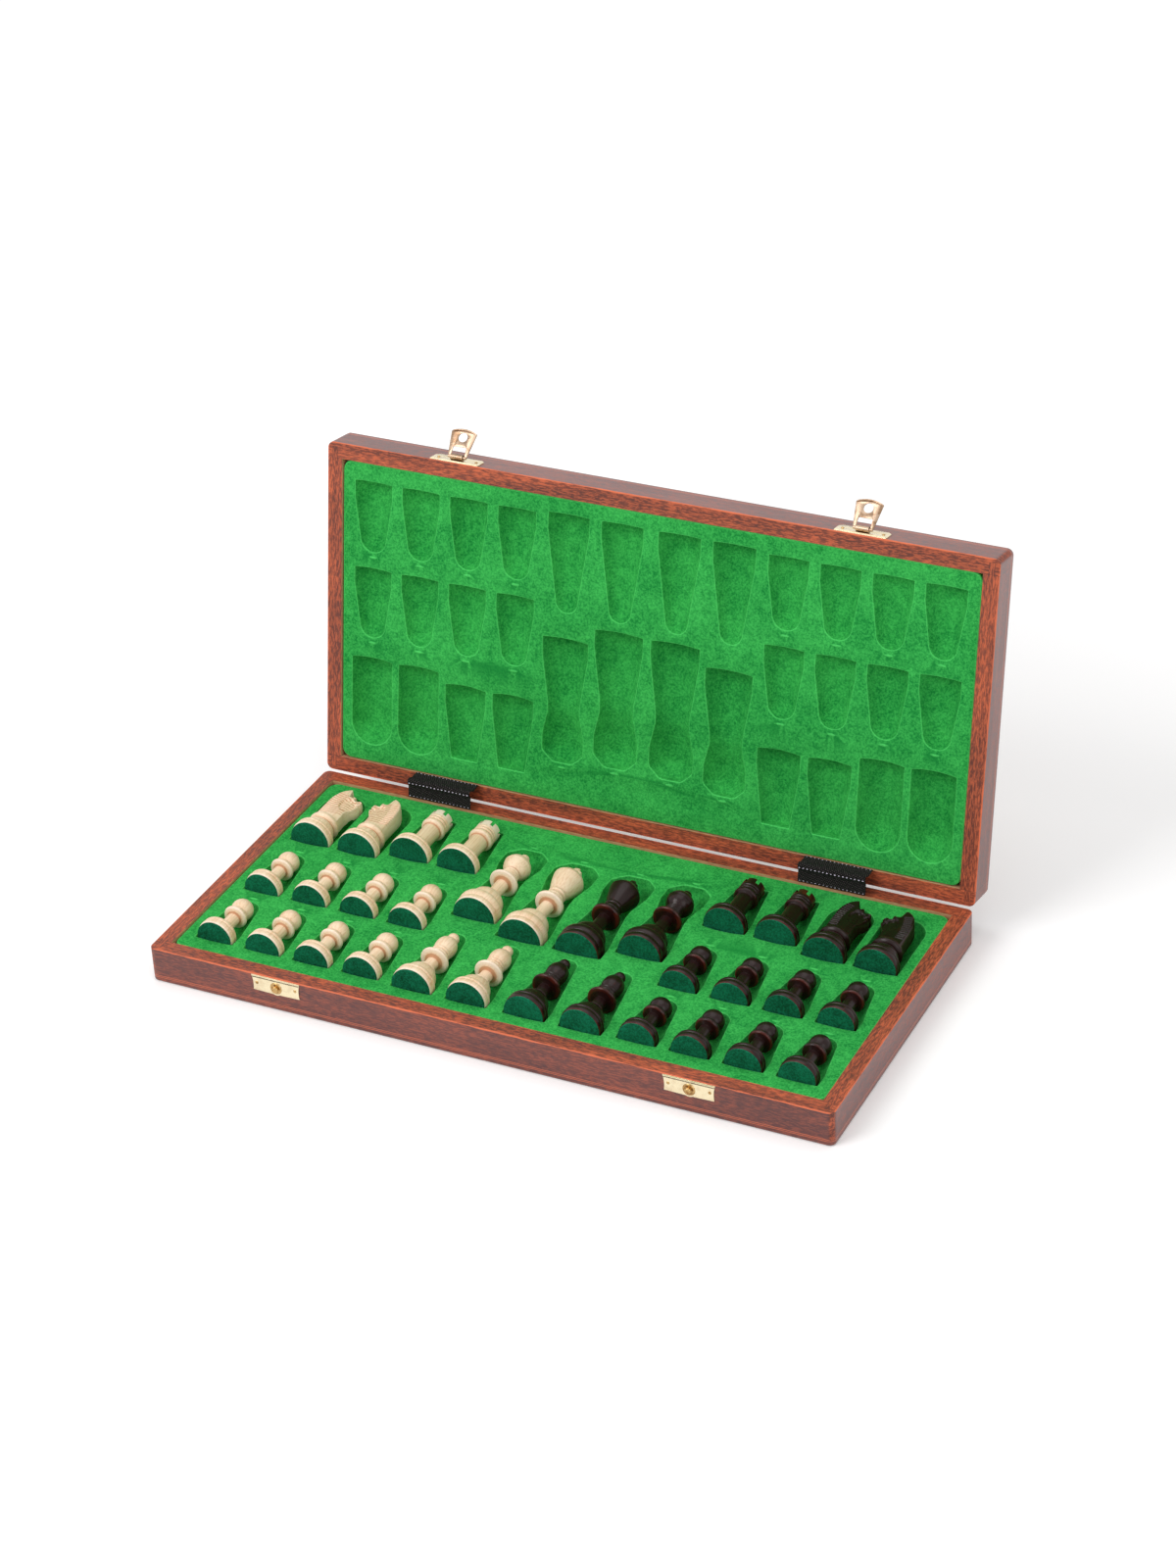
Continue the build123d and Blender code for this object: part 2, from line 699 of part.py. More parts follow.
# ---------------------------------------------------------------- latches
def latch_plates(mouth, with_studs, name):
    """Both latch plates on one half's front face: catch plates with studs, or hinge plates with
    a rolled eye for the flap."""
    front = front_of(mouth)
    with BuildPart() as plates:
        with BuildSketch(front):
            with Locations((-fitting_offset, plate_middle()), (fitting_offset, plate_middle())):
                RectangleRounded(plate_length, plate_height, plate_corner_radius)
        extrude(amount=plate_thickness)
        with BuildSketch(front):
            lip_y = -plate_edge_gap - plate_lip_height / 2
            with Locations((-fitting_offset, lip_y), (fitting_offset, lip_y)):
                Rectangle(plate_length - 2 * plate_corner_radius, plate_lip_height)
        extrude(amount=plate_lip_depth)
        for place in (-fitting_offset, fitting_offset):
            if with_studs:
                add_stud(front, place)
            else:
                add_roll(front, place)
        with BuildSketch(front):
            with Locations(*nail_places()):
                Circle(nail_radius)
        extrude(amount=plate_thickness, mode=Mode.SUBTRACT)
    save(plates, name)


def add_stud(front, place):
    """The catch plate's raised boss and stud, where the latched flap's hole comes."""
    with BuildSketch(front) as boss:
        with Locations((place, stud_y)):
            Circle(stud_boss_radius)
    extrude(boss.sketch, amount=plate_thickness + stud_boss_height)
    with BuildSketch(front) as stud:
        with Locations((place, stud_y)):
            Circle(stud_radius)
    extrude(stud.sketch, amount=stud_height)


def roll_plane(front, place):
    """The plane square to a flap's axis, at its middle: x from rim to board, y outwards."""
    return Plane(
        origin=front.from_local_coords((place, -flap_axis_depth, flap_axis_height)),
        x_dir=-front.y_dir,
        z_dir=-front.x_dir,
    )


def add_roll(front, place):
    """The hinge plate's rolled eye, which holds the flap's bar."""
    with BuildSketch(roll_plane(front, place)) as eye:
        Circle(roll_radius)
        Circle(flap_bar_radius + flap_bar_gap, mode=Mode.SUBTRACT)
    extrude(eye.sketch, amount=roll_length / 2, both=True)


# The shut lid's rim is one mouth gap above the base's, and the latched flap hangs straight down.
stud_y = flap_axis_depth - stud_distance + mouth_gap


def latch_flap(place, name):
    """One flap: a sheet with a window round the roll, a bar through it, a hole and a raised lip."""
    front = front_of(lid_mouth)
    swing = radians(flap_open_angle)
    along = front.y_dir * cos(swing) + front.z_dir * sin(swing)
    sheet = Plane(
        origin=front.from_local_coords((place, -flap_axis_depth, flap_axis_height)),
        x_dir=front.x_dir,
        z_dir=front.x_dir.cross(along),
    )
    root, tip = flap_root_width / 2, flap_tip_width / 2
    with BuildPart() as flap:
        with BuildSketch(sheet):
            with BuildLine():
                Polyline((-tip, flap_shoulder), (-root, 0), (root, 0), (tip, flap_shoulder))
                ThreePointArc((tip, flap_shoulder), (0, flap_tip), (-tip, flap_shoulder))
            make_face()
            Rectangle(flap_window_width, 2 * flap_window_top, mode=Mode.SUBTRACT)
            with Locations((0, stud_distance)):
                Circle(stud_radius + stud_hole_gap, mode=Mode.SUBTRACT)
        extrude(amount=flap_thickness / 2, both=True)
        with BuildSketch(sheet):
            with BuildLine():
                rise = flap_lip_width
                ThreePointArc((tip, flap_shoulder), (0, flap_tip), (-tip, flap_shoulder))
                Line((-tip, flap_shoulder), (-tip, flap_shoulder - rise))
                ThreePointArc(
                    (-tip, flap_shoulder - rise), (0, flap_tip - rise), (tip, flap_shoulder - rise)
                )
                Line((tip, flap_shoulder - rise), (tip, flap_shoulder))
            make_face()
        extrude(amount=-flap_lip_height)
        with BuildSketch(roll_plane(front, place)):
            Circle(flap_bar_radius)
        extrude(amount=root, both=True)
    save(flap, name)


# ---------------------------------------------------------------- nails and screws
def fasteners(mouth, name):
    """One half's small hardware: the latch plates' nails and the hinge leaves' screws."""
    front = front_of(mouth)
    with BuildPart() as hardware:
        with BuildSketch(front.offset(plate_thickness)):
            with Locations(*nail_places()):
                Circle(nail_head_radius)
        extrude(amount=nail_head_depth)
        with BuildSketch(front.offset(plate_thickness)):
            with Locations(*nail_places()):
                Circle(nail_radius - screw_seat_gap)
        extrude(amount=-nail_length)
        for place in (-fitting_offset, fitting_offset):
            with BuildSketch(mouth):
                with Locations(*hinge_screw_places(place)):
                    Circle(hinge_screw_head_radius)
            extrude(amount=-hinge_screw_head_depth)
            with BuildSketch(mouth):
                with Locations(*hinge_screw_places(place)):
                    Circle(hinge_screw_radius - screw_seat_gap)
            extrude(amount=-hinge_screw_length + screw_seat_gap)
    save(hardware, name)


def half_box(mouth, half):
    """The wooden half, its squares and its insert.  The lid's left is the base's right."""
    board_panel(mouth, f"{half}_board_panel")
    board_squares(mouth, 0, f"{half}_dark_squares")
    board_squares(mouth, 1, f"{half}_light_squares")
    long_rail(mouth, -1, f"{half}_front_rail")
    long_rail(mouth, 1, f"{half}_back_rail")
    left = -1 if mouth.x_dir.X > 0 else 1
    side_rail(mouth, left, f"{half}_left_rail")
    side_rail(mouth, -left, f"{half}_right_rail")
    insert(mouth, f"{half}_tray")
    fasteners(mouth, f"{half}_fasteners")


half_box(base_mouth, "base")
half_box(lid_mouth, "lid")
chess_men()
hinge_leaves(base_mouth, (-1, 1), "hinge_base_leaves")
hinge_leaves(lid_mouth, (0,), "hinge_lid_leaves")
hinge_pins("hinge_pins")
strap_flap(
    lower_strap_plane, strap_end_gap, strap_span - strap_crease_trim, "hinge_straps_lower"
)
strap_flap(
    upper_strap_plane, strap_crease_trim, strap_span - strap_end_gap, "hinge_straps_upper"
)
latch_plates(base_mouth, True, "latch_catch_plates")
latch_plates(lid_mouth, False, "latch_hinge_plates")
latch_flap(fitting_offset, "latch_flap_left")
latch_flap(-fitting_offset, "latch_flap_right")
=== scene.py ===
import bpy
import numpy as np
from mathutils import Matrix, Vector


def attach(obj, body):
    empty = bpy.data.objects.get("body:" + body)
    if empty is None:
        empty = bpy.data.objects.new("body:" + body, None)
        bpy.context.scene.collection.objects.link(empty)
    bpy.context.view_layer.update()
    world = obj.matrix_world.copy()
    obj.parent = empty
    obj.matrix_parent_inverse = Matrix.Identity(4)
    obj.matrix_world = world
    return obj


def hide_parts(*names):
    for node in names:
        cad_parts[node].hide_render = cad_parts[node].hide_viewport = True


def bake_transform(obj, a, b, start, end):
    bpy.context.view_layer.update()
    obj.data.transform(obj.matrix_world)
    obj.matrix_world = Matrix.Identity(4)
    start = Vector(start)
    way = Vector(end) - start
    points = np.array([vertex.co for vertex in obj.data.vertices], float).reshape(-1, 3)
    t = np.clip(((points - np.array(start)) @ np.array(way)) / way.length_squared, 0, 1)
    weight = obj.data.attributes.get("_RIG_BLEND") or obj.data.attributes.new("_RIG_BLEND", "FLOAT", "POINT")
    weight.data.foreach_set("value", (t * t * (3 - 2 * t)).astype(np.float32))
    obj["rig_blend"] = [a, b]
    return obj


bl_info = {
    "name": "Folding chess box",
    "version": (1, 0, 0),
    "blender": (4, 5, 0),
    "location": "3D View > Sidebar > Chess Box",
    "description": "Finishes a packed folding chess box: wood, flock, brass, straps and men",
    "category": "Object",
}

from math import asin, atan2, ceil, cos, degrees, hypot, pi, radians, sin, sqrt, tan

import bmesh
import bpy
from bpy.props import FloatProperty, FloatVectorProperty, IntProperty, PointerProperty
from mathutils import Euler, Matrix, Vector
from mathutils.geometry import delaunay_2d_cdt

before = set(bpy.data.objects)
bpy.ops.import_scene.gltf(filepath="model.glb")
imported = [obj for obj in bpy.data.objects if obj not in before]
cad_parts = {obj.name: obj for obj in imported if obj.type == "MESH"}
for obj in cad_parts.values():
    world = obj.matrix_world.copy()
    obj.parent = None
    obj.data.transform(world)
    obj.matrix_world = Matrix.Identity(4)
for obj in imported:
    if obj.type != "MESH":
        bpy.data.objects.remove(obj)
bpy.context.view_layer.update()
MM = 0.001
SIDES = (-1, 1)
HALVES = ("base", "lid")


# ------------------------------------------------------------------ settings
def length(name, description, millimetres):
    """A size property, given in millimetres and kept in metres."""
    return FloatProperty(
        name=name, description=description, default=millimetres * MM, unit="LENGTH", precision=5
    )


def turn(name, description, angle):
    """An angle property, given in degrees."""
    return FloatProperty(
        name=name, description=description, default=radians(angle), unit="ROTATION"
    )


def linear(channel):
    """One 0-255 display channel as scene-linear light."""
    value = channel / 255
    return value / 12.92 if value <= 0.04045 else ((value + 0.055) / 1.055) ** 2.4


def paint(name, description, red, green, blue):
    """A colour property, given in 0-255 display values."""
    return FloatVectorProperty(
        name=name,
        description=description,
        default=(linear(red), linear(green), linear(blue)),
        subtype="COLOR",
        size=3,
        min=0,
        max=1,
    )


class ChessBoxSizes(bpy.types.PropertyGroup):
    """The wooden halves and their flocked inserts."""

    half_depth: length("Half depth", "Front to back of one half", 238)
    half_height: length("Half height", "Height of one half", 25)
    box_length: length("Length", "Length of the box", 480)
    mouth_gap: length("Mouth gap", "Gap between the rims when shut", 1)
    lid_angle: turn("Lid angle", "How far the lid stands open", 100)
    rail: length("Rail", "Thickness of the rails", 11)
    board: length("Board", "Thickness of the board panel", 4)
    tenon_width: length("Tenon width", "Tenon across the side rail", 4)
    tenon_length: length("Tenon length", "Tenon along the side rail", 8)
    square: length("Square", "Side of a board square", 49.5)
    insert_recess: length("Insert recess", "How far the insert lies below the rim", 1.2)
    insert_gap: length("Insert gap", "Gap between the insert and the rails", 0.3)
    insert_corner: length("Insert corner", "Corner radius of the insert", 7)
    insert_edge: length("Insert edge", "Rounding of the insert's outer edge", 1.5)
    pocket_gap: length("Foot gap", "Felt to the pocket's foot wall", 0.4)
    seat_gap: length("Seat gap", "Under a man's foot", 0.15)
    pocket_lip: length("Pocket lip", "Rounding of a pocket's edge", 0.8)
    pocket_step: length("Pocket mesh", "Longest mesh edge along a pocket", 2.4)
    crease_length: length("Crease length", "Length of the moulding crease past a pocket", 9)
    crease_width: length("Crease width", "Width of that crease", 2.6)
    crease_height: length("Crease height", "Height of that crease", 0.5)


class ChessMenSizes(bpy.types.PropertyGroup):
    """The turned and carved men."""

    felt: length("Felt", "Thickness of the felt", 0.8)
    felt_inset: length("Felt inset", "How far the felt stays in from the foot's edge", 0.6)
    segments: IntProperty(name="Segments", description="Facets round a turned man", default=64)
    edge: length("Edge", "Softening of turned edges", 0.2)
    pawn_height: length("Pawn height", "Felt to top", 44.5)
    pawn_base: length("Pawn base", "Foot diameter", 26)
    rook_height: length("Rook height", "Felt to top", 50)
    rook_base: length("Rook base", "Foot diameter", 29.8)
    knight_height: length("Knight height", "Felt to ear", 57)
    knight_base: length("Knight base", "Foot diameter", 29.6)
    bishop_height: length("Bishop height", "Felt to top", 63.5)
    bishop_base: length("Bishop base", "Foot diameter", 28.6)
    queen_height: length("Queen height", "Felt to top", 78.5)
    queen_base: length("Queen base", "Foot diameter", 31)
    king_height: length("King height", "Felt to top", 88.5)
    king_base: length("King base", "Foot diameter", 31.5)
    rook_cap: length("Rook cap", "Radius of a rook's cap", 8.2)
    slot_width: length("Slot width", "Slots in a rook's cap", 2.4)
    slot_depth: length("Slot depth", "Depth of those slots", 4.4)
    mane_pitch: length("Mane pitch", "Distance between mane cuts", 2.2)


class ChessHardwareSizes(bpy.types.PropertyGroup):
    """Latches, nails, screws and straps."""

    offset: length("Offset", "Middle of the box to each fitting", 145)
    plate_length: length("Plate length", "Latch plate along the box", 36)
    plate_height: length("Plate height", "Latch plate across the rail", 11.5)
    plate_thickness: length("Plate thickness", "Latch plate sheet", 0.6)
    plate_edge_gap: length("Plate gap", "Rim to plate", 0.5)
    plate_lip: length("Plate lip", "How far the plate's lip stands out", 1.2)
    nail_spacing: length("Nail spacing", "Between a plate's nails", 28)
    nail_head: length("Nail head", "Radius of a nail's head", 1.2)
    flap_axis_depth: length("Flap axis depth", "Rim to the flap's axis", 5.5)
    flap_axis_height: length("Flap axis height", "Lid front to the flap's axis", 2.5)
    flap_thickness: length("Flap thickness", "Flap sheet", 0.7)
    flap_angle: turn("Flap angle", "How far the flap stands open", 127)
    flap_root: length("Flap root", "Flap's width at its axis", 14)
    flap_tip: length("Flap tip", "Flap's width near its tip", 19.2)
    flap_shoulder: length("Flap shoulder", "Axis to the tip's corners", 17.5)
    flap_reach: length("Flap reach", "Axis to the tip's middle", 19.7)
    bar_radius: length("Bar radius", "Flap's hinge bar", 1)
    roll_radius: length("Roll radius", "Outside of the rolled tongue", 2.05)
    roll_length: length("Roll length", "Length of the rolled tongue", 9)
    stud_distance: length("Stud distance", "Flap's axis to its hole", 14)
    stud_radius: length("Stud radius", "Radius of the stud", 2.4)
    stud_height: length("Stud height", "Height of the stud", 3.4)
    hole_radius: length("Hole radius", "Hole in the flap", 3.3)
    screw_spacing: length("Screw spacing", "Between a leaf's screws", 20)
    screw_head: length("Screw head", "Radius of a screw's head", 1.7)
    leaf_width: length("Leaf width", "Width of a hinge leaf", 8)
    strap_width: length("Strap width", "Along the hinge", 48)
    strap_thickness: length("Strap thickness", "Thickness of the strap", 0.8)
    strap_slack: length("Strap slack", "How far the strap stands off its crease", 2.1)
    strap_slack_reach: length("Strap slack reach", "Crease to where the slack ends", 3.9)
    stitch_pitch: length("Stitch pitch", "Between stitches", 2.8)
    stitch_length: length("Stitch length", "Length of a stitch", 1.4)
    stitch_width: length("Stitch width", "Thickness of the thread", 0.8)


class ChessFinishes(bpy.types.PropertyGroup):
    """Colours."""

    stain_light: paint("Light stain", "Lighter grain of the stained beech", 200, 96, 58)
    stain_dark: paint("Dark stain", "Darker grain of the stained beech", 92, 40, 28)
    stain_face: paint("Face stain", "The outer faces' darker stain", 68, 19, 26)
    raw_beech: paint("Raw beech", "Unstained wood inside the halves", 190, 128, 98)
    veneer_dark: paint("Dark veneer", "Dark board squares", 92, 46, 32)
    veneer_light: paint("Light veneer", "Light board squares", 226, 190, 146)
    man_light: paint("Light men", "Natural light wood", 250, 222, 190)
    man_light_grain: paint("Light men's grain", "Grain lines of the light wood", 222, 180, 134)
    man_dark: paint("Dark men", "Dark stained wood", 31, 11, 9)
    # painted highlight colour on the dark men's proud edges
    man_dark_highlight: paint("Dark men's edges", "Worn edges of the dark wood", 76, 27, 17)
    flock: paint("Flock", "Green flocking", 66, 190, 88)
    flock_shade: paint("Flock shade", "Flocking laid the other way", 14, 128, 52)
    felt: paint("Felt", "Felt under the men", 16, 118, 84)
    felt_shade: paint("Felt shade", "Felt's darker fibres", 0, 62, 36)
    brass: paint("Brass", "Polished brass", 240, 226, 190)
    cloth: paint("Strap cloth", "Black strap", 11, 9, 9)
    # painted highlight colour of the twill's raised threads
    cloth_thread_highlight: paint("Strap twill", "Raised threads of the strap", 112, 102, 102)
    thread: paint("Thread", "Lilac sewing thread", 232, 222, 244)
    floor: paint("Floor", "Studio floor", 250, 250, 250)


def settings():
    """The box's sizes, the men's, the hardware's and the finishes, as the scene holds them."""
    scene = bpy.context.scene
    return scene.chess_box, scene.chess_men, scene.chess_hardware, scene.chess_finishes


# ------------------------------------------------------------------ places
def frame_of(x_axis, z_axis, origin):
    """A frame from two of its axes and its origin."""
    y_axis = z_axis.cross(x_axis)
    matrix = Matrix((x_axis, y_axis, z_axis)).transposed().to_4x4()
    matrix.translation = origin
    return matrix


def mouth(half):
    """A half's own frame: the middle of its rim, y towards the hinge, z out of its mouth."""
    box = settings()[0]
    if half == "base":
        return Matrix.Translation((0, 0, box.half_height))
    hinge = hinge_point()
    to_hinge = Vector((0, cos(box.lid_angle), -sin(box.lid_angle)))
    normal = Vector((0, -sin(box.lid_angle), -cos(box.lid_angle)))
    middle = hinge - to_hinge * hinge_distance() - normal * box.mouth_gap / 2
    return frame_of(Vector((-1, 0, 0)), normal, middle)


def hinge_distance():
    """How far the hinge axis lies from a half's middle."""
    box = settings()[0]
    return (box.half_depth + box.mouth_gap) / 2


def hinge_point():
    """The hinge axis, in the middle of the box."""
    box = settings()[0]
    return Vector((0, hinge_distance(), box.half_height + box.mouth_gap / 2))


def front_of(half):
    """A half's front face: x along the length, y towards the rim, z outwards."""
    box = settings()[0]
    local = frame_of(Vector((1, 0, 0)), Vector((0, -1, 0)), Vector((0, -box.half_depth / 2, 0)))
    return mouth(half) @ local


def fitting_places():
    """Where the straps, hinges and latches sit along the box."""
    hardware = settings()[2]
    return [side * hardware.offset for side in SIDES]


MEN_ROWS = (  # kind, place from the middle outwards, distance from the middle, felt's row
    ("king", 0, 20.5, -20.0),
    ("queen", 1, 59.5, -8.5),
    ("rook", 2, 97.5, 40.0),
    ("rook", 3, 133.5, 40.0),
    ("knight", 4, 169.5, 33.0),
    ("knight", 5, 205.5, 33.0),
    ("pawn", 2, 97.5, -32.5),
    ("pawn", 3, 133.5, -32.5),
    ("pawn", 4, 169.5, -32.5),
    ("pawn", 5, 205.5, -32.5),
    ("bishop", 0, 20.5, -96.0),
    ("bishop", 1, 59.5, -96.0),
    ("pawn", 2, 97.5, -94.0),
    ("pawn", 3, 133.5, -94.0),
    ("pawn", 4, 169.5, -94.0),
    ("pawn", 5, 205.5, -94.0),
)


def man_size(kind):
    """A man's height over his felt's underside and his foot's radius."""
    men = settings()[1]
    return getattr(men, kind + "_height"), getattr(men, kind + "_base") / 2


# ------------------------------------------------------------------ meshes
def link(name, data, materials=()):
    """Puts a mesh, curve, lamp or camera into the scene under its name."""
    thing = bpy.data.objects.new(name, data)
    bpy.context.scene.collection.objects.link(thing)
    for material in materials:
        data.materials.append(material)
    return thing


def to_mesh(shape, name):
    """A shape as a plain mesh."""
    mesh = bpy.data.meshes.new(name)
    shape.to_mesh(mesh)
    shape.free()
    return mesh


def delete_loose(shape):
    """Deletes the points that no face uses."""
    loose = [v for v in shape.verts if not v.link_faces]
    bmesh.ops.delete(shape, geom=loose, context="VERTS")


def shaded(mesh, crease):
    """The mesh, shaded smooth but for its creases, an angle in degrees."""
    mesh.shade_smooth()
    mesh.set_sharp_from_angle(angle=radians(crease))
    return mesh


def finish_mesh(shape, name, materials, crease=35):
    """Merges, turns faces outwards, shades smooth with crisp creases, and links the piece."""
    merge = 0.002 * MM
    bmesh.ops.remove_doubles(shape, verts=shape.verts, dist=merge)
    bmesh.ops.dissolve_degenerate(shape, edges=shape.edges, dist=merge / 4)
    bmesh.ops.recalc_face_normals(shape, faces=shape.faces)
    return link(name, shaded(to_mesh(shape, name), crease), materials)


def take_place(piece, body, node):
    """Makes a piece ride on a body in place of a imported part."""
    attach(piece, body)
    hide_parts(node)


def add_mesh(shape, mesh, matrix=None, material=None):
    """Adds a mesh's faces to a shape, moved by a matrix, and frees the mesh."""
    before = len(shape.verts)
    faces_before = len(shape.faces)
    shape.from_mesh(mesh)
    shape.verts.ensure_lookup_table()
    shape.faces.ensure_lookup_table()
    if matrix is not None:
        bmesh.ops.transform(shape, matrix=matrix, verts=shape.verts[before:])
    if material is not None:
        for face in shape.faces[faces_before:]:
            face.material_index = material
    bpy.data.meshes.remove(mesh)


def add_grid(shape, rows, closed=False):
    """Adds a sheet of quads through rows of points; closed joins each row's ends."""
    made = [[shape.verts.new(point) for point in row] for row in rows]
    for lower, upper in zip(made, made[1:]):
        count = len(lower)
        for i in range(count if closed else count - 1):
            j = (i + 1) % count
            shape.faces.new((lower[i], lower[j], upper[j], upper[i])).smooth = True
    return made


def evaluated_mesh(thing):
    """A plain mesh of an object with its modifiers, curve settings and nodes applied."""
    graph = bpy.context.evaluated_depsgraph_get()
    return bpy.data.meshes.new_from_object(thing.evaluated_get(graph))


def discard(thing):
    """Deletes a helper object and its data."""
    data = thing.data
    kind = thing.type
    bpy.data.objects.remove(thing)
    if kind == "MESH":
        bpy.data.meshes.remove(data)
    elif kind == "CURVE":
        bpy.data.curves.remove(data)


def sheet_metal(outlines, thickness, edge):
    """A flat sheet from an outline and its holes, with softened edges, its middle at z = 0."""
    curve = bpy.data.curves.new("sheet", "CURVE")
    curve.dimensions = "2D"
    curve.fill_mode = "BOTH"
    curve.extrude = thickness / 2 - edge
    curve.bevel_depth = edge
    curve.bevel_resolution = 1
    curve.offset = -edge
    for outline in outlines:
        spline = curve.splines.new("POLY")
        spline.points.add(len(outline) - 1)
        for point, (x, y) in zip(spline.points, outline):
            point.co = (x, y, 0, 1)
        spline.use_cyclic_u = True
    thing = link("sheet", curve)
    mesh = evaluated_mesh(thing)
    discard(thing)
    return mesh


def arc(centre, radius, start, end, steps):
    """Points on an arc, angles in degrees."""
    cx, cy = centre
    angles = [radians(start + (end - start) * i / steps) for i in range(steps + 1)]
    return [(cx + radius * cos(a), cy + radius * sin(a)) for a in angles]


def bulged(start, end, bulge, steps=8):
    """Points from start to end on an arc whose middle stands out to the right by bulge."""
    (x0, y0), (x1, y1) = start, end
    dx, dy = x1 - x0, y1 - y0
    chord = hypot(dx, dy)
    points = []
    for i in range(1, steps + 1):
        t = i / steps
        height = bulge * 4 * t * (1 - t)
        points.append((x0 + dx * t + dy / chord * height, y0 + dy * t - dx / chord * height))
    return points


def softened(points, radius, steps=2):
    """The same open line with its corners rounded."""
    result = [points[0]]
    for before, corner, after in zip(points, points[1:], points[2:]):
        a = Vector(before) - Vector(corner)
        b = Vector(after) - Vector(corner)
        if a.length < 1e-9 or b.length < 1e-9:
            continue
        angle = a.angle(b)
        if angle > radians(155):
            result.append(corner)
            continue
        reach = min(radius / tan(max(angle, 0.2) / 2), a.length * 0.45, b.length * 0.45)
        first = Vector(corner) + a.normalized() * reach
        last = Vector(corner) + b.normalized() * reach
        for i in range(steps + 1):
            t = i / steps
            point = first * (1 - t) ** 2 + Vector(corner) * 2 * t * (1 - t) + last * t * t
            result.append(tuple(point))
    result.append(points[-1])
    return result


def divided(points, step):
    """The same open line with its long stretches divided."""
    result = [points[0]]
    for (x0, y0), (x1, y1) in zip(points, points[1:]):
        count = max(1, ceil(hypot(x1 - x0, y1 - y0) / step))
        for i in range(1, count + 1):
            t = i / count
            result.append((x0 + (x1 - x0) * t, y0 + (y1 - y0) * t))
    return result


# ------------------------------------------------------------------ node trees
def node_tree(name, inputs):
    """A geometry tree with a geometry input and output and the named inputs."""
    tree = bpy.data.node_groups.new(name, "GeometryNodeTree")
    tree.interface.new_socket("Geometry", in_out="INPUT", socket_type="NodeSocketGeometry")
    for label, kind in inputs:
        tree.interface.new_socket(label, in_out="INPUT", socket_type="NodeSocket" + kind)
    tree.interface.new_socket("Geometry", in_out="OUTPUT", socket_type="NodeSocketGeometry")
    return tree, tree.nodes.new("NodeGroupInput"), tree.nodes.new("NodeGroupOutput")


def place_node(tree, kind, values=None, **choices):
    """Adds a node, sets its choices, and sets or links its inputs."""
    node = tree.nodes.new(kind)
    for label, value in choices.items():
        setattr(node, label, value)
    for label, value in (values or {}).items():
        socket = node.inputs[label]
        if isinstance(value, bpy.types.NodeSocket):
            tree.links.new(value, socket)
        else:
            socket.default_value = value
    return node


def run_tree(thing, tree, values):
    """Runs a geometry tree on an object, and returns the result as a plain mesh."""
    modifier = thing.modifiers.new("nodes", "NODES")
    modifier.node_group = tree
    for item in tree.interface.items_tree:
        if item.in_out == "INPUT" and item.name in values:
            modifier[item.identifier] = values[item.name]
    mesh = evaluated_mesh(thing)
    thing.modifiers.remove(modifier)
    return mesh


def end_tree(tree, made, given, result):
    """Ends a tree with its copies made real and in their finish."""
    real = place_node(tree, "GeometryNodeRealizeInstances", {"Geometry": made})
    coloured = place_node(
        tree,
        "GeometryNodeSetMaterial",
        {"Geometry": real.outputs["Geometry"], "Material": given.outputs["Finish"]},
    )
    tree.links.new(coloured.outputs["Geometry"], result.inputs["Geometry"])
    return tree


def turned_tree():
    """Turns a profile, drawn as a line of edges (radius, -height), about its own Y axis."""
    name = "Turned on the lathe"
    if name in bpy.data.node_groups:
        return bpy.data.node_groups[name]
    tree, given, result = node_tree(
        name, [("Segments", "Int"), ("Merge distance", "Float"), ("Finish", "Material")]
    )
    profile = place_node(tree, "GeometryNodeMeshToCurve", {"Mesh": given.outputs["Geometry"]})
    axis = place_node(
        tree,
        "GeometryNodeCurvePrimitiveCircle",
        {"Resolution": given.outputs["Segments"], "Radius": 1e-7},
    )
    swept = place_node(
        tree,
        "GeometryNodeCurveToMesh",
        {"Curve": axis.outputs["Curve"], "Profile Curve": profile.outputs["Curve"]},
    )
    merged = place_node(
        tree,
        "GeometryNodeMergeByDistance",
        {"Geometry": swept.outputs["Mesh"], "Distance": given.outputs["Merge distance"]},
    )
    return end_tree(tree, merged.outputs["Geometry"], given, result)


def scatter_tree():
    """Sets one copy of a small part on every point, turned by the point's own rotation."""
    name = "Set on points"
    if name in bpy.data.node_groups:
        return bpy.data.node_groups[name]
    tree, given, result = node_tree(
        name,
        [("Part", "Object"), ("Size", "Float"), ("Unevenness", "Float"), ("Finish", "Material")],
    )
    part = place_node(tree, "GeometryNodeObjectInfo", {"Object": given.outputs["Part"]})
    rotation = place_node(
        tree, "GeometryNodeInputNamedAttribute", {"Name": "turn"}, data_type="FLOAT_VECTOR"
    )
    spread = place_node(tree, "ShaderNodeMath", {0: 1.0}, operation="SUBTRACT")
    tree.links.new(given.outputs["Unevenness"], spread.inputs[1])
    random = place_node(
        tree,
        "FunctionNodeRandomValue",
        {"Min": spread.outputs[0], "Max": 1.0, "Seed": 7},
        data_type="FLOAT",
    )
    scale = place_node(
        tree, "ShaderNodeMath", {0: random.outputs["Value"], 1: given.outputs["Size"]},
        operation="MULTIPLY",
    )
    copies = place_node(
        tree,
        "GeometryNodeInstanceOnPoints",
        {
            "Points": given.outputs["Geometry"],
            "Instance": part.outputs["Geometry"],
            "Rotation": rotation.outputs["Attribute"],
            "Scale": scale.outputs[0],
        },
    )
    return end_tree(tree, copies.outputs["Instances"], given, result)


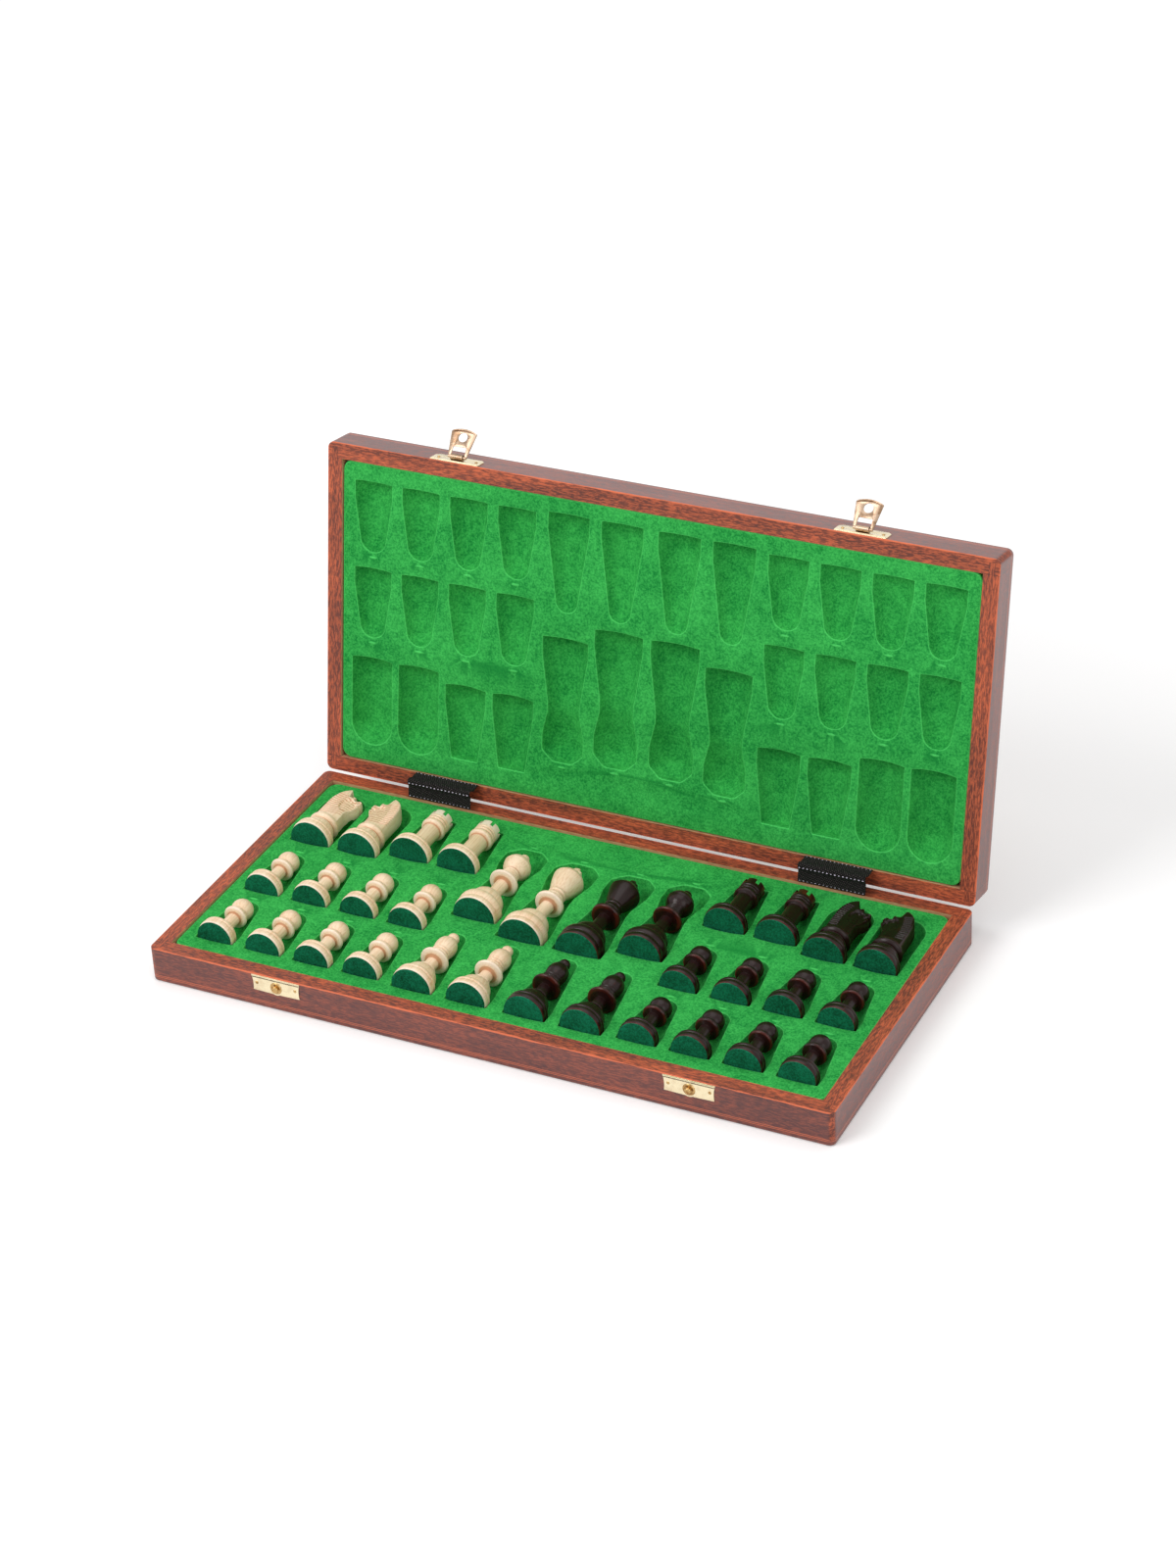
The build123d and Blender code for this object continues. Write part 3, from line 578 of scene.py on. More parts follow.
def turned(profile, segments, finish):
    """A turned body as a mesh, its axis along Y, from (radius, height) points."""
    mesh = bpy.data.meshes.new("profile")
    edges = [(i, i + 1) for i in range(len(profile) - 1)]
    mesh.from_pydata([(r, -h, 0) for r, h in profile], edges, [])
    thing = link("profile", mesh)
    inputs = {"Segments": segments, "Merge distance": 1e-6, "Finish": finish}
    body = run_tree(thing, turned_tree(), inputs)
    discard(thing)
    # the tree leaves the height along Z: lay it along Y
    body.transform(Matrix.Rotation(radians(-90), 4, "X"))
    return body


def scattered(part, places, size, unevenness, finish):
    """Copies of a small part at places, each a matrix, as one mesh."""
    mesh = bpy.data.meshes.new("places")
    mesh.from_pydata([m.translation for m in places], [], [])
    rotation = mesh.attributes.new("turn", "FLOAT_VECTOR", "POINT")
    for entry, matrix in zip(rotation.data, places):
        entry.vector = matrix.to_euler()
    thing = link("places", mesh)
    inputs = {"Part": part, "Size": size, "Unevenness": unevenness, "Finish": finish}
    result = run_tree(thing, scatter_tree(), inputs)
    discard(thing)
    return result


# ------------------------------------------------------------------ materials
class Recipe:
    """A material's node tree, built one node at a time."""

    def __init__(self, name):
        self.material = bpy.data.materials.new(name)
        self.material.use_nodes = True
        self.tree = self.material.node_tree
        self.tree.nodes.clear()
        self.output = self.tree.nodes.new("ShaderNodeOutputMaterial")

    def add(self, kind, values=None, **choices):
        return place_node(self.tree, kind, values, **choices)

    def math(self, operation, first, second=0.0, third=0.0, clamp=False):
        values = {0: first, 1: second, 2: third}
        node = self.add("ShaderNodeMath", values, operation=operation, use_clamp=clamp)
        return node.outputs[0]

    def times(self, first, second):
        return self.math("MULTIPLY", first, second)

    def less(self, first, second):
        return self.math("SUBTRACT", first, second)

    def most(self, first, second):
        return self.math("MAXIMUM", first, second)

    def size(self, value):
        """The value without its sign."""
        return self.math("ABSOLUTE", value)

    def position(self):
        return self.add("ShaderNodeTexCoord").outputs["Object"]

    def told(self, name):
        """A value that the mesh's own points hold."""
        return self.add("ShaderNodeAttribute", attribute_name=name).outputs["Fac"]

    def grey(self, value):
        """A value as a grey to multiply a colour by."""
        return self.add("ShaderNodeCombineColor", {0: value, 1: value, 2: value}).outputs[0]

    def within(self, vector, matrix):
        """The vector as a frame of its own reads it."""
        node = self.add(
            "ShaderNodeMapping",
            {
                "Vector": vector,
                "Location": matrix.translation,
                "Rotation": matrix.to_euler(),
            },
            vector_type="TEXTURE",
        )
        return node.outputs[0]

    def stretched(self, vector, scale):
        node = self.add("ShaderNodeVectorMath", {0: vector, 1: scale}, operation="MULTIPLY")
        return node.outputs[0]

    def noise(self, vector, scale=1.0, detail=2.0, roughness=0.5, distortion=0.0):
        node = self.add(
            "ShaderNodeTexNoise",
            {
                "Vector": vector,
                "Scale": scale,
                "Detail": detail,
                "Roughness": roughness,
                "Distortion": distortion,
            },
        )
        return node.outputs["Fac"]

    def between(self, value, low, high, to_low=0.0, to_high=1.0):
        """Maps a value from one range to another, smoothly and clamped."""
        node = self.add(
            "ShaderNodeMapRange",
            {"Value": value, "From Min": low, "From Max": high, "To Min": to_low,
             "To Max": to_high},
            interpolation_type="SMOOTHSTEP",
        )
        return node.outputs[0]

    def mix(self, amount, first, second, blend="MIX"):
        node = self.add(
            "ShaderNodeMix",
            {0: amount, 6: solid(first), 7: solid(second)},
            data_type="RGBA",
            blend_type=blend,
        )
        return node.outputs[2]

    def parts(self, vector):
        return self.add("ShaderNodeSeparateXYZ", {0: vector}).outputs

    def bump(self, height, strength, distance):
        values = {"Height": height, "Strength": strength, "Distance": distance}
        return self.add("ShaderNodeBump", values).outputs[0]

    def surface(self, **values):
        """The principled shader; names use underscores for spaces."""
        named = {label.replace("_", " "): value for label, value in values.items()}
        for label in ("Base Color", "Sheen Tint"):
            if label in named:
                named[label] = solid(named[label])
        shader = self.add("ShaderNodeBsdfPrincipled", named)
        return self.ended(shader)

    def ended(self, shader):
        """The material, with this shader on its surface."""
        self.tree.links.new(shader.outputs[0], self.output.inputs["Surface"])
        return self.material


def solid(colour):
    """A colour with its alpha, or a socket as it is."""
    if isinstance(colour, bpy.types.NodeSocket):
        return colour
    return (*colour, 1.0)[:4]


def stained_wood(name, half, along_length):
    """Stained beech of one half: short dark flecks along the grain, a darker, glossier outer face,
    worn edges with a painted highlight, pale raw wood inside, and the thin joint lines of the corner tenons."""
    box, _, _, finish = settings()
    recipe = Recipe(name)
    local = recipe.within(recipe.position(), mouth(half))
    x, y, z = recipe.parts(local)
    if along_length:
        grain = local
    else:
        grain = recipe.add("ShaderNodeCombineXYZ", {0: y, 1: x, 2: z}).outputs[0]
    bands = recipe.noise(recipe.stretched(grain, (7, 110, 110)), detail=4, roughness=0.6)
    flecks = recipe.noise(recipe.stretched(grain, (170, 900, 900)), detail=3, roughness=0.7)
    pores = recipe.noise(recipe.stretched(grain, (150, 1500, 1500)), detail=1)
    mottle = recipe.noise(recipe.stretched(grain, (30, 70, 70)), detail=3)
    tone = recipe.times(recipe.between(bands, 0.36, 0.64), 0.35)
    tone = recipe.math("MULTIPLY_ADD", recipe.between(flecks, 0.44, 0.57), 0.65, tone)
    colour = recipe.mix(tone, finish.stain_dark, finish.stain_light)
    shade = recipe.between(mottle, 0.3, 0.7, 0.84, 1.1)
    colour = recipe.mix(1.0, colour, recipe.grey(shade), "MULTIPLY")
    dark = recipe.times(recipe.between(pores, 0.42, 0.36), 0.7)
    colour = recipe.mix(dark, colour, finish.stain_dark)
    # the outer faces: a darker, purplish stain under a glossier varnish
    joint_level = box.board - box.half_height
    side = recipe.less(recipe.size(x), box.box_length / 2)
    front = recipe.less(recipe.size(y), box.half_depth / 2)
    outer = recipe.most(side, front)
    on_face = recipe.between(outer, -0.5 * MM, -0.05 * MM)
    under = recipe.between(z, -0.3 * MM, -0.7 * MM)
    on_face = recipe.times(on_face, under)
    on_board = recipe.between(z, joint_level + 0.2 * MM, joint_level - 0.2 * MM)
    on_face = recipe.most(on_face, on_board)
    face_colour = recipe.mix(0.58, colour, finish.stain_face)
    colour = recipe.mix(on_face, colour, face_colour)
    # worn edges and a painted highlight: round the rim's outer edge and along the board's joint
    ragged = recipe.noise(recipe.stretched(grain, (60, 400, 400)), detail=3)
    reach = recipe.between(ragged, 0.3, 0.7, 0.25 * MM, 0.95 * MM)
    rim = recipe.most(recipe.size(z), recipe.size(outer))
    joint = recipe.size(recipe.less(z, joint_level))
    joint_edge = recipe.size(recipe.less(joint, 0.55 * MM))
    worn = recipe.math("LESS_THAN", rim, reach)
    # painted highlight on the board's rounded edge beside the joint
    joint_edge_highlight = recipe.times(recipe.between(joint_edge, 0.4 * MM, 0.1 * MM), on_face)
    worn = recipe.most(recipe.times(worn, 0.8), recipe.times(joint_edge_highlight, 0.65))
    # wear and painted highlight: the edges take a lighter stain colour
    colour = recipe.mix(worn, colour, tuple(min(1.0, c * 1.35) for c in finish.stain_light))
    crack = recipe.times(recipe.between(joint, 0.28 * MM, 0.1 * MM), on_face)
    # the tenons' joint lines on the rims
    tenon_x = recipe.size(recipe.less(recipe.size(x), (box.box_length - box.rail) / 2))
    tenon_middle = (box.half_depth - 2 * box.rail + box.tenon_length) / 2
    tenon_y = recipe.size(recipe.less(recipe.size(y), tenon_middle))
    past_x = recipe.less(tenon_x, box.tenon_width / 2)
    past_y = recipe.less(tenon_y, box.tenon_length / 2)
    tenon = recipe.size(recipe.most(past_x, past_y))
    shoulder = recipe.size(recipe.less(recipe.size(y), box.half_depth / 2 - box.rail))
    shoulder = recipe.most(shoulder, recipe.less(box.box_length / 2 - box.rail, recipe.size(x)))
    seam = recipe.math("MINIMUM", tenon, shoulder)
    seam = recipe.between(seam, 0.22 * MM, 0.08 * MM)
    crack = recipe.most(crack, recipe.times(seam, 0.8))
    colour = recipe.mix(recipe.times(crack, 0.75), colour, (0.012, 0.006, 0.004))
    # raw wood on the inner walls
    inner_x = recipe.less(recipe.size(x), box.box_length / 2 - box.rail + 0.05 * MM)
    inner_y = recipe.less(recipe.size(y), box.half_depth / 2 - box.rail + 0.05 * MM)
    inside = recipe.most(inner_x, inner_y)
    raw = recipe.math("LESS_THAN", inside, 0.0)
    above = recipe.math("GREATER_THAN", z, joint_level - 0.05 * MM)
    raw = recipe.times(raw, above)
    raw_colour = recipe.mix(recipe.times(tone, 0.4), finish.raw_beech, finish.veneer_light)
    colour = recipe.mix(raw, colour, raw_colour)
    rough = recipe.between(flecks, 0.3, 0.7, 0.5, 0.62)
    rough = recipe.math("MULTIPLY_ADD", on_face, -0.18, rough)
    height = recipe.math("MULTIPLY_ADD", pores, 0.5, flecks)
    height = recipe.math("MULTIPLY_ADD", crack, -2.0, height)
    normal = recipe.bump(height, 0.35, 0.12 * MM)
    coat = recipe.times(on_face, 0.35)
    return recipe.surface(Base_Color=colour, Roughness=rough, Normal=normal, Coat_Weight=coat,
                          Coat_Roughness=0.22)


def veneer(name, half, light):
    """Sliced veneer of the board's squares, each square cut from a different place."""
    box, _, _, finish = settings()
    recipe = Recipe(name)
    local = recipe.within(recipe.position(), mouth(half))
    x, y, _ = recipe.parts(local)
    columns = recipe.math("FLOOR", recipe.math("DIVIDE", x, box.square))
    first_row = box.half_depth / 2 - 1.5 * MM
    rows = recipe.math("FLOOR", recipe.math("DIVIDE", recipe.less(y, first_row), box.square))
    pick = recipe.add("ShaderNodeCombineXYZ", {0: columns, 1: rows, 2: 0.5}).outputs[0]
    piece = recipe.add("ShaderNodeTexWhiteNoise", {"Vector": pick}).outputs
    moved = recipe.add("ShaderNodeVectorMath",
                       {0: local, 1: recipe.stretched(piece["Color"], (3, 3, 3))},
                       operation="ADD").outputs[0]
    figure = recipe.noise(recipe.stretched(moved, (4, 75, 75)), detail=6, roughness=0.62,
                          distortion=0.25)
    fine = recipe.noise(recipe.stretched(moved, (60, 1300, 1300)), detail=3)
    if light:
        colours = finish.veneer_light, tuple(c * 0.72 for c in finish.veneer_light)
    else:
        colours = finish.veneer_dark, tuple(c * 0.45 for c in finish.veneer_dark)
    tone = recipe.math("MULTIPLY_ADD", recipe.between(fine, 0.4, 0.7), 0.35,
                       recipe.times(recipe.between(figure, 0.35, 0.7), 0.65))
    colour = recipe.mix(tone, colours[0], colours[1])
    shade = recipe.between(piece["Value"], 0.0, 1.0, 0.88, 1.08)
    colour = recipe.mix(1.0, colour, recipe.grey(shade), "MULTIPLY")
    rough = recipe.between(fine, 0.3, 0.7, 0.3, 0.42)
    return recipe.surface(Base_Color=colour, Roughness=rough,
                          Normal=recipe.bump(fine, 0.2, 0.05 * MM))


def mane_cut_shade(recipe):
    """Painted shade in the mane's cuts: even dark lines across a knight's head and neck, 1 in a line, 0
    beside it.
    """
    turns = recipe.told("mane_turns")
    mane = recipe.told("mane")
    middle = recipe.size(recipe.less(recipe.math("FRACT", turns), 0.5))
    return recipe.times(recipe.between(middle, 0.28, 0.08), mane)


def light_wood():
    """Natural light wood of the men: fine lines along their axis, a painted warm shade in the grooves and a
    painted highlight on the proud edges.
    """
    finish = settings()[3]
    recipe = Recipe("light_men_wood")
    place = recipe.position()
    lines = recipe.noise(recipe.stretched(place, (900, 28, 900)), detail=3, roughness=0.55)
    cloud = recipe.noise(recipe.stretched(place, (90, 22, 90)), detail=3)
    pores = recipe.noise(recipe.stretched(place, (2600, 320, 2600)), detail=1)
    tone = recipe.times(recipe.between(lines, 0.42, 0.68), 0.5)
    tone = recipe.math("MULTIPLY_ADD", recipe.between(cloud, 0.35, 0.7), 0.3, tone)
    tone = recipe.math("MULTIPLY_ADD", recipe.between(pores, 0.6, 0.72), 0.25, tone, clamp=True)
    colour = recipe.mix(tone, finish.man_light, finish.man_light_grain)
    relief = recipe.told("relief")
    # painted shade: a warm darker tone in the turned grooves and the mane's cuts
    groove = recipe.most(recipe.between(relief, -0.05, -0.75), mane_cut_shade(recipe))
    groove_shade_colour = tuple(c * s for c, s in zip(finish.man_light_grain, (0.72, 0.42, 0.3)))
    colour = recipe.mix(recipe.times(groove, 0.75), colour, groove_shade_colour)
    # painted highlight on the proud edges of the turning and the carving
    crest_highlight = recipe.times(recipe.between(relief, 0.1, 0.9), 0.5)
    colour = recipe.mix(crest_highlight, colour, (1.0, 0.87, 0.76))
    return recipe.surface(Base_Color=colour, Roughness=0.42, Coat_Weight=0.25,
                          Coat_Roughness=0.28, Normal=recipe.bump(lines, 0.12, 0.1 * MM))


def dark_wood():
    """Dark stained wood of the men, with a painted red-brown highlight on its proud edges and painted shade
    in the mane's cuts, under lacquer.
    """
    finish = settings()[3]
    recipe = Recipe("dark_men_wood")
    place = recipe.position()
    lines = recipe.noise(recipe.stretched(place, (700, 35, 700)), detail=3, roughness=0.6)
    cloud = recipe.noise(place, scale=110, detail=4, roughness=0.6)
    relief = recipe.told("relief")
    # painted highlight: patchy red-brown on the proud edges
    edge = recipe.between(relief, 0.25, 1.1)
    edge_highlight = recipe.times(edge, recipe.between(cloud, 0.35, 0.6))
    streak = recipe.times(recipe.between(lines, 0.52, 0.72), recipe.between(cloud, 0.45, 0.65))
    amount = recipe.most(edge_highlight, recipe.times(streak, 0.5))
    colour = recipe.mix(amount, finish.man_dark, finish.man_dark_highlight)
    # painted shade in the mane's cuts
    colour = recipe.mix(mane_cut_shade(recipe), colour, tuple(c * 0.3 for c in finish.man_dark))
    return recipe.surface(Base_Color=colour, Roughness=0.3, Specular_IOR_Level=0.2,
                          Coat_Weight=0.12, Coat_Roughness=0.12,
                          Normal=recipe.bump(lines, 0.1, 0.1 * MM))


def fibre(name, colour, shade, scale, sheen, contrast):
    """Flock or felt: short matted fibres, with a painted highlight where they stand up on a lip or a crease
    and painted shade round a crease's foot.
    """
    recipe = Recipe(name)
    place = recipe.position()
    fine = recipe.noise(place, scale=scale, detail=4, roughness=0.85)
    patch = recipe.noise(place, scale=scale / 5, detail=3, roughness=0.65)
    laid = recipe.noise(place, scale=24, detail=3)
    tone = recipe.times(recipe.between(fine, 0.43, 0.57), contrast)
    tone = recipe.math("MULTIPLY_ADD", recipe.between(patch, 0.38, 0.62), 0.25, tone)
    tone = recipe.math("MULTIPLY_ADD", recipe.between(laid, 0.38, 0.62), 0.2, tone, clamp=True)
    mixed = recipe.mix(tone, shade, colour)
    relief = recipe.told("relief")
    # painted highlight on the pockets' lips, the creases' tops and the insert's rounded edge
    pale = tuple(min(1.0, c * 1.7 + 0.05) for c in colour)
    lip = recipe.times(recipe.between(relief, 0.1, 1.0), 0.38)
    mixed = recipe.mix(lip, mixed, pale)
    # painted shade round the foot of each crease
    fold_shade = recipe.times(recipe.between(relief, -0.1, -0.9), 0.7)
    mixed = recipe.mix(fold_shade, mixed, shade)
    height = recipe.math("MULTIPLY_ADD", patch, 0.6, fine)
    return recipe.surface(Base_Color=mixed, Roughness=0.95, Sheen_Weight=sheen,
                          Sheen_Roughness=0.5, Sheen_Tint=colour, Specular_IOR_Level=0.15,
                          Normal=recipe.bump(height, 0.9, 0.4 * MM))


def brass_metal(name, dull, tint=(1.0, 1.0, 1.0), tarnish_and_dark_reflection=0.35):
    """Pale polished brass, darkened in soft patches of tarnish that also serve as a painted dark reflection,
    and finely scratched.
    """
    finish = settings()[3]
    recipe = Recipe(name)
    place = recipe.position()
    smear = recipe.noise(place, scale=150, detail=2, roughness=0.5, distortion=0.4)
    speck = recipe.noise(place, scale=1100, detail=3, roughness=0.7)
    scratch = recipe.noise(recipe.stretched(place, (300, 5200, 5200)), detail=2)
    clean = tuple(c * s for c, s in zip(finish.brass, tint))
    # tarnish and painted dark reflection: a darker brown for the patches
    worn = tuple(c * s for c, s in zip(clean, (0.5, 0.36, 0.24)))
    amount = recipe.times(recipe.between(smear, 0.44, 0.64), tarnish_and_dark_reflection)
    amount = recipe.math("MULTIPLY_ADD", recipe.between(speck, 0.56, 0.72), 0.2, amount, clamp=True)
    colour = recipe.mix(amount, clean, worn)
    rough = recipe.math("MULTIPLY_ADD", recipe.between(scratch, 0.3, 0.7), 0.1, dull)
    return recipe.surface(Base_Color=colour, Metallic=1.0, Roughness=rough,
                          Normal=recipe.bump(scratch, 0.12, 0.03 * MM))


def strap_cloth():
    """Black twill: raised dashes of thread in slanting rows that follow the strap, lighter by a painted
    highlight.
    """
    finish = settings()[3]
    recipe = Recipe("strap_twill")
    place = recipe.add("ShaderNodeUVMap", uv_map="UVMap").outputs[0]
    u, v, _ = recipe.parts(place)
    slant = recipe.math("MULTIPLY_ADD", v, 0.7, u)
    twill = recipe.math("SINE", recipe.times(slant, 2 * pi / (1.5 * MM)))
    across = recipe.math("SINE", recipe.times(recipe.math("MULTIPLY_ADD", u, -0.6, v),
                                              2 * pi / (1.3 * MM)))
    wear = recipe.noise(recipe.stretched(place, (700, 700, 1)), detail=3)
    # painted highlight on the raised threads
    raised = recipe.times(recipe.between(twill, 0.2, 0.95), recipe.between(across, 0.0, 0.8))
    amount = recipe.times(raised, recipe.between(wear, 0.35, 0.6, 0.4, 1.0))
    colour = recipe.mix(amount, finish.cloth, finish.cloth_thread_highlight)
    height = recipe.math("MULTIPLY_ADD", across, 0.6, twill)
    return recipe.surface(Base_Color=colour, Roughness=0.85, Specular_IOR_Level=0.2,
                          Normal=recipe.bump(height, 0.8, 0.25 * MM))


def plain_thread():
    """The straps' sewing thread, with the twist of its ply."""
    finish = settings()[3]
    recipe = Recipe("lilac_thread")
    ply = recipe.noise(recipe.position(), scale=5200, detail=1)
    shade = tuple(c * 0.5 for c in finish.thread)
    colour = recipe.mix(recipe.between(ply, 0.4, 0.6), shade, finish.thread)
    return recipe.surface(Base_Color=colour, Roughness=0.7,
                          Normal=recipe.bump(ply, 0.3, 0.05 * MM))


def finish_named(name):
    """A material that an earlier step made."""
    if name not in bpy.data.materials:
        raise RuntimeError(f"the finish {name} has not been made")
    return bpy.data.materials[name]


def dress(node, material):
    """Gives a carried-over part its finish."""
    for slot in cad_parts[node].material_slots:
        slot.material = material


# ------------------------------------------------------------------ pockets
POCKETS = {  # room beside a man's foot, room beyond his head, the arch's share of the half width
    "pawn": (1.15, 4.5, 0.70),
    "bishop": (0.85, 4.5, 0.54),
    "rook": (0.5, 2.0, 0),
    "knight": (0.85, 5.2, 1.0),
    "queen": (1.4, 9.0, 0),
    "king": (1.9, 7.0, 0),
}


def pocket_size(kind):
    """A pocket's half width at the foot, and its length from the felt."""
    height, base_radius = man_size(kind)
    ease, head_gap, _ = POCKETS[kind]
    return base_radius + ease * MM, height + head_gap * MM


def man_drop(kind):
    """How far a man lies below his pocket's axis, on its floor."""
    box = settings()[0]
    return POCKETS[kind][0] * MM - box.seat_gap


def pocket_profile(kind):
    """A pocket's (radius, height) line from its foot wall's corner round to its head's middle."""
    box, men, *_ = settings()
    radius, end = pocket_size(kind)
    near = (radius, -box.pocket_gap)
    shoulder = (radius, 11 * MM)
    if kind == "rook":
        top = men.rook_cap + 1.9 * MM
        return softened([near, shoulder, (top, end), (0, end)], 0.8 * MM, 3)
    if kind in ("queen", "king"):
        bulb = radius - 1.6 * MM
        waist = radius * 0.70
        side = [
            near,
            shoulder,
            (waist, end * 0.52),
            (waist, end * 0.60),
            (bulb, end * 0.78),
            (bulb, end * 0.92),
            (bulb * 0.5, end),
            (0, end),
        ]
        return softened(side, 5 * MM, 4)
    arch = radius * POCKETS[kind][2]
    spring = (arch, end - arch)
    side = softened([near, shoulder, spring], 12 * MM, 3)
    return side + arc((0, end - arch), arch, 0, 90, 8)[1:]


def foot_wall(kind, row):
    """The domed wall at a man's felt, from the middle of the wall to its corner."""
    box = settings()[0]
    radius, _ = pocket_size(kind)
    relief = radius**2 / (2 * (hinge_distance() - row)) + 0.15 * MM
    start = (0, -box.pocket_gap - relief)
    return [start] + bulged(start, (radius, -box.pocket_gap), relief / 4, 5)


def pocket_stations(kind, row, cut):
    """The pocket's whole profile between the two places where it meets the insert's face."""
    box = settings()[0]
    line = foot_wall(kind, row) + pocket_profile(kind)[1:]
    line = divided(line, box.pocket_step)
    stations = []
    for before, after in zip(line, line[1:]):
        (r0, h0), (r1, h1) = before, after
        if (r0 - cut) * (r1 - cut) < 0:
            t = (cut - r0) / (r1 - r0)
            crossing = (cut, h0 + (h1 - h0) * t)
            if r1 > r0:
                stations.append(crossing)
            else:
                stations.append(before)
                stations.append(crossing)
                break
        if r1 > cut and r0 > cut:
            stations.append(before)
        elif r1 > cut and not stations:
            stations.append(after)
    tidy = [stations[0]]
    for station in stations[1:]:
        if hypot(station[0] - tidy[-1][0], station[1] - tidy[-1][1]) > 0.02 * MM:
            tidy.append(station)
    return tidy


def add_pocket(shape, kind, x, row, level, axis):
    """Adds one pocket, with its rounded lip, and returns the lip's outline on the insert."""
    box = settings()[0]
    lip = box.pocket_lip
    cut = axis - level + lip
    stations = pocket_stations(kind, row, cut)
    columns = 22
    rows = []
    for radius, height in stations:
        start = asin(min(1, cut / radius))
        angles = [start + (pi - 2 * start) * i / columns for i in range(columns + 1)]
        rows.append(
            [(x + radius * cos(a), row + height, axis - radius * sin(a)) for a in angles]
        )
    add_grid(shape, rows)
    right = [(r[0][0], r[0][1]) for r in rows]
    left = [(r[-1][0], r[-1][1]) for r in rows]
    rim = right[:-1] + [((right[-1][0] + left[-1][0]) / 2, right[-1][1])] + left[-2:0:-1]
    rim[0] = ((right[0][0] + left[0][0]) / 2, right[0][1])
    normals = outline_normals(rim)
    rings = []
    steps = 3
    for i in range(steps + 1):
        angle = pi / 2 * (1 - i / steps)
        out = lip * (1 - sin(angle))
        down = lip * (1 - cos(angle))
        rings.append(
            [(px + nx * out, py + ny * out, level - down)
             for (px, py), (nx, ny) in zip(rim, normals)]
        )
    # relief here drives the flock's painted highlight on the lip
    proud = shape.verts.layers.float["relief"]
    for ring, value in zip(add_grid(shape, rings, closed=True), (0.5, 1.0, 0.9, 0.2)):
        for vert in ring:
            vert[proud] = value
    return [(px, py) for px, py, _ in rings[-1]]


def outline_normals(points):
    """Outward unit normals of a closed outline, from its neighbours on either side."""
    count = len(points)
    area = sum(
        points[i - 1][0] * points[i][1] - points[i][0] * points[i - 1][1] for i in range(count)
    )
    sign = 1 if area > 0 else -1
    normals = []
    for i in range(count):
        before, after = Vector(points[i - 1]), Vector(points[(i + 1) % count])
        here = Vector(points[i])
        first, second = (here - before), (after - here)
        along = first.normalized() + second.normalized()
        if along.length < 1e-6:
            along = first
        along.normalize()
        normals.append((along.y * sign, -along.x * sign))
    return normals


def add_crease(shape, x, y, level):
    """Adds the small raised moulding crease past a pocket's head, and returns its outline."""
    box = settings()[0]
    half_length, half_width = box.crease_length / 2, box.crease_width / 2
    rings = []
    for share in (1.0, 0.8, 0.55, 0.28):
        rise = box.crease_height * (0.5 + 0.5 * cos(pi * share))
        rings.append(
            [
                (x + half_length * share * cos(a), y + half_width * share * sin(a), level + rise)
                for a in (2 * pi * i / 14 for i in range(14))
            ]
        )
    made = add_grid(shape, rings, closed=True)
    # relief here drives the flock's painted shade at the crease's foot and painted highlight on its top
    proud = shape.verts.layers.float["relief"]
    for ring, value in zip(made, (-0.9, -0.2, 0.9, 1.0)):
        for vert in ring:
            vert[proud] = value
    top = shape.verts.new((x, y, level + box.crease_height))
    top[proud] = 1.0
    last = made[-1]
    for i, vert in enumerate(last):
        shape.faces.new((vert, last[(i + 1) % len(last)], top))
    return [(px, py) for px, py, _ in rings[0]]


def rounded_rectangle(half_x, half_y, radius, steps=8):
    """A closed outline, anticlockwise."""
    points = []
    for cx, cy, start in (
        (half_x - radius, -half_y + radius, -90),
        (half_x - radius, half_y - radius, 0),
        (-half_x + radius, half_y - radius, 90),
        (-half_x + radius, -half_y + radius, 180),
    ):
        points += arc((cx, cy), radius, start, start + 90, steps)
    return points


def inside(point, outline):
    """Whether a point lies in a closed outline."""
    x, y = point
    result = False
    x0, y0 = outline[-1]
    for x1, y1 in outline:
        if (y0 > y) != (y1 > y) and x < (x1 - x0) * (y - y0) / (y1 - y0) + x0:
            result = not result
        x0, y0 = x1, y1
    return result


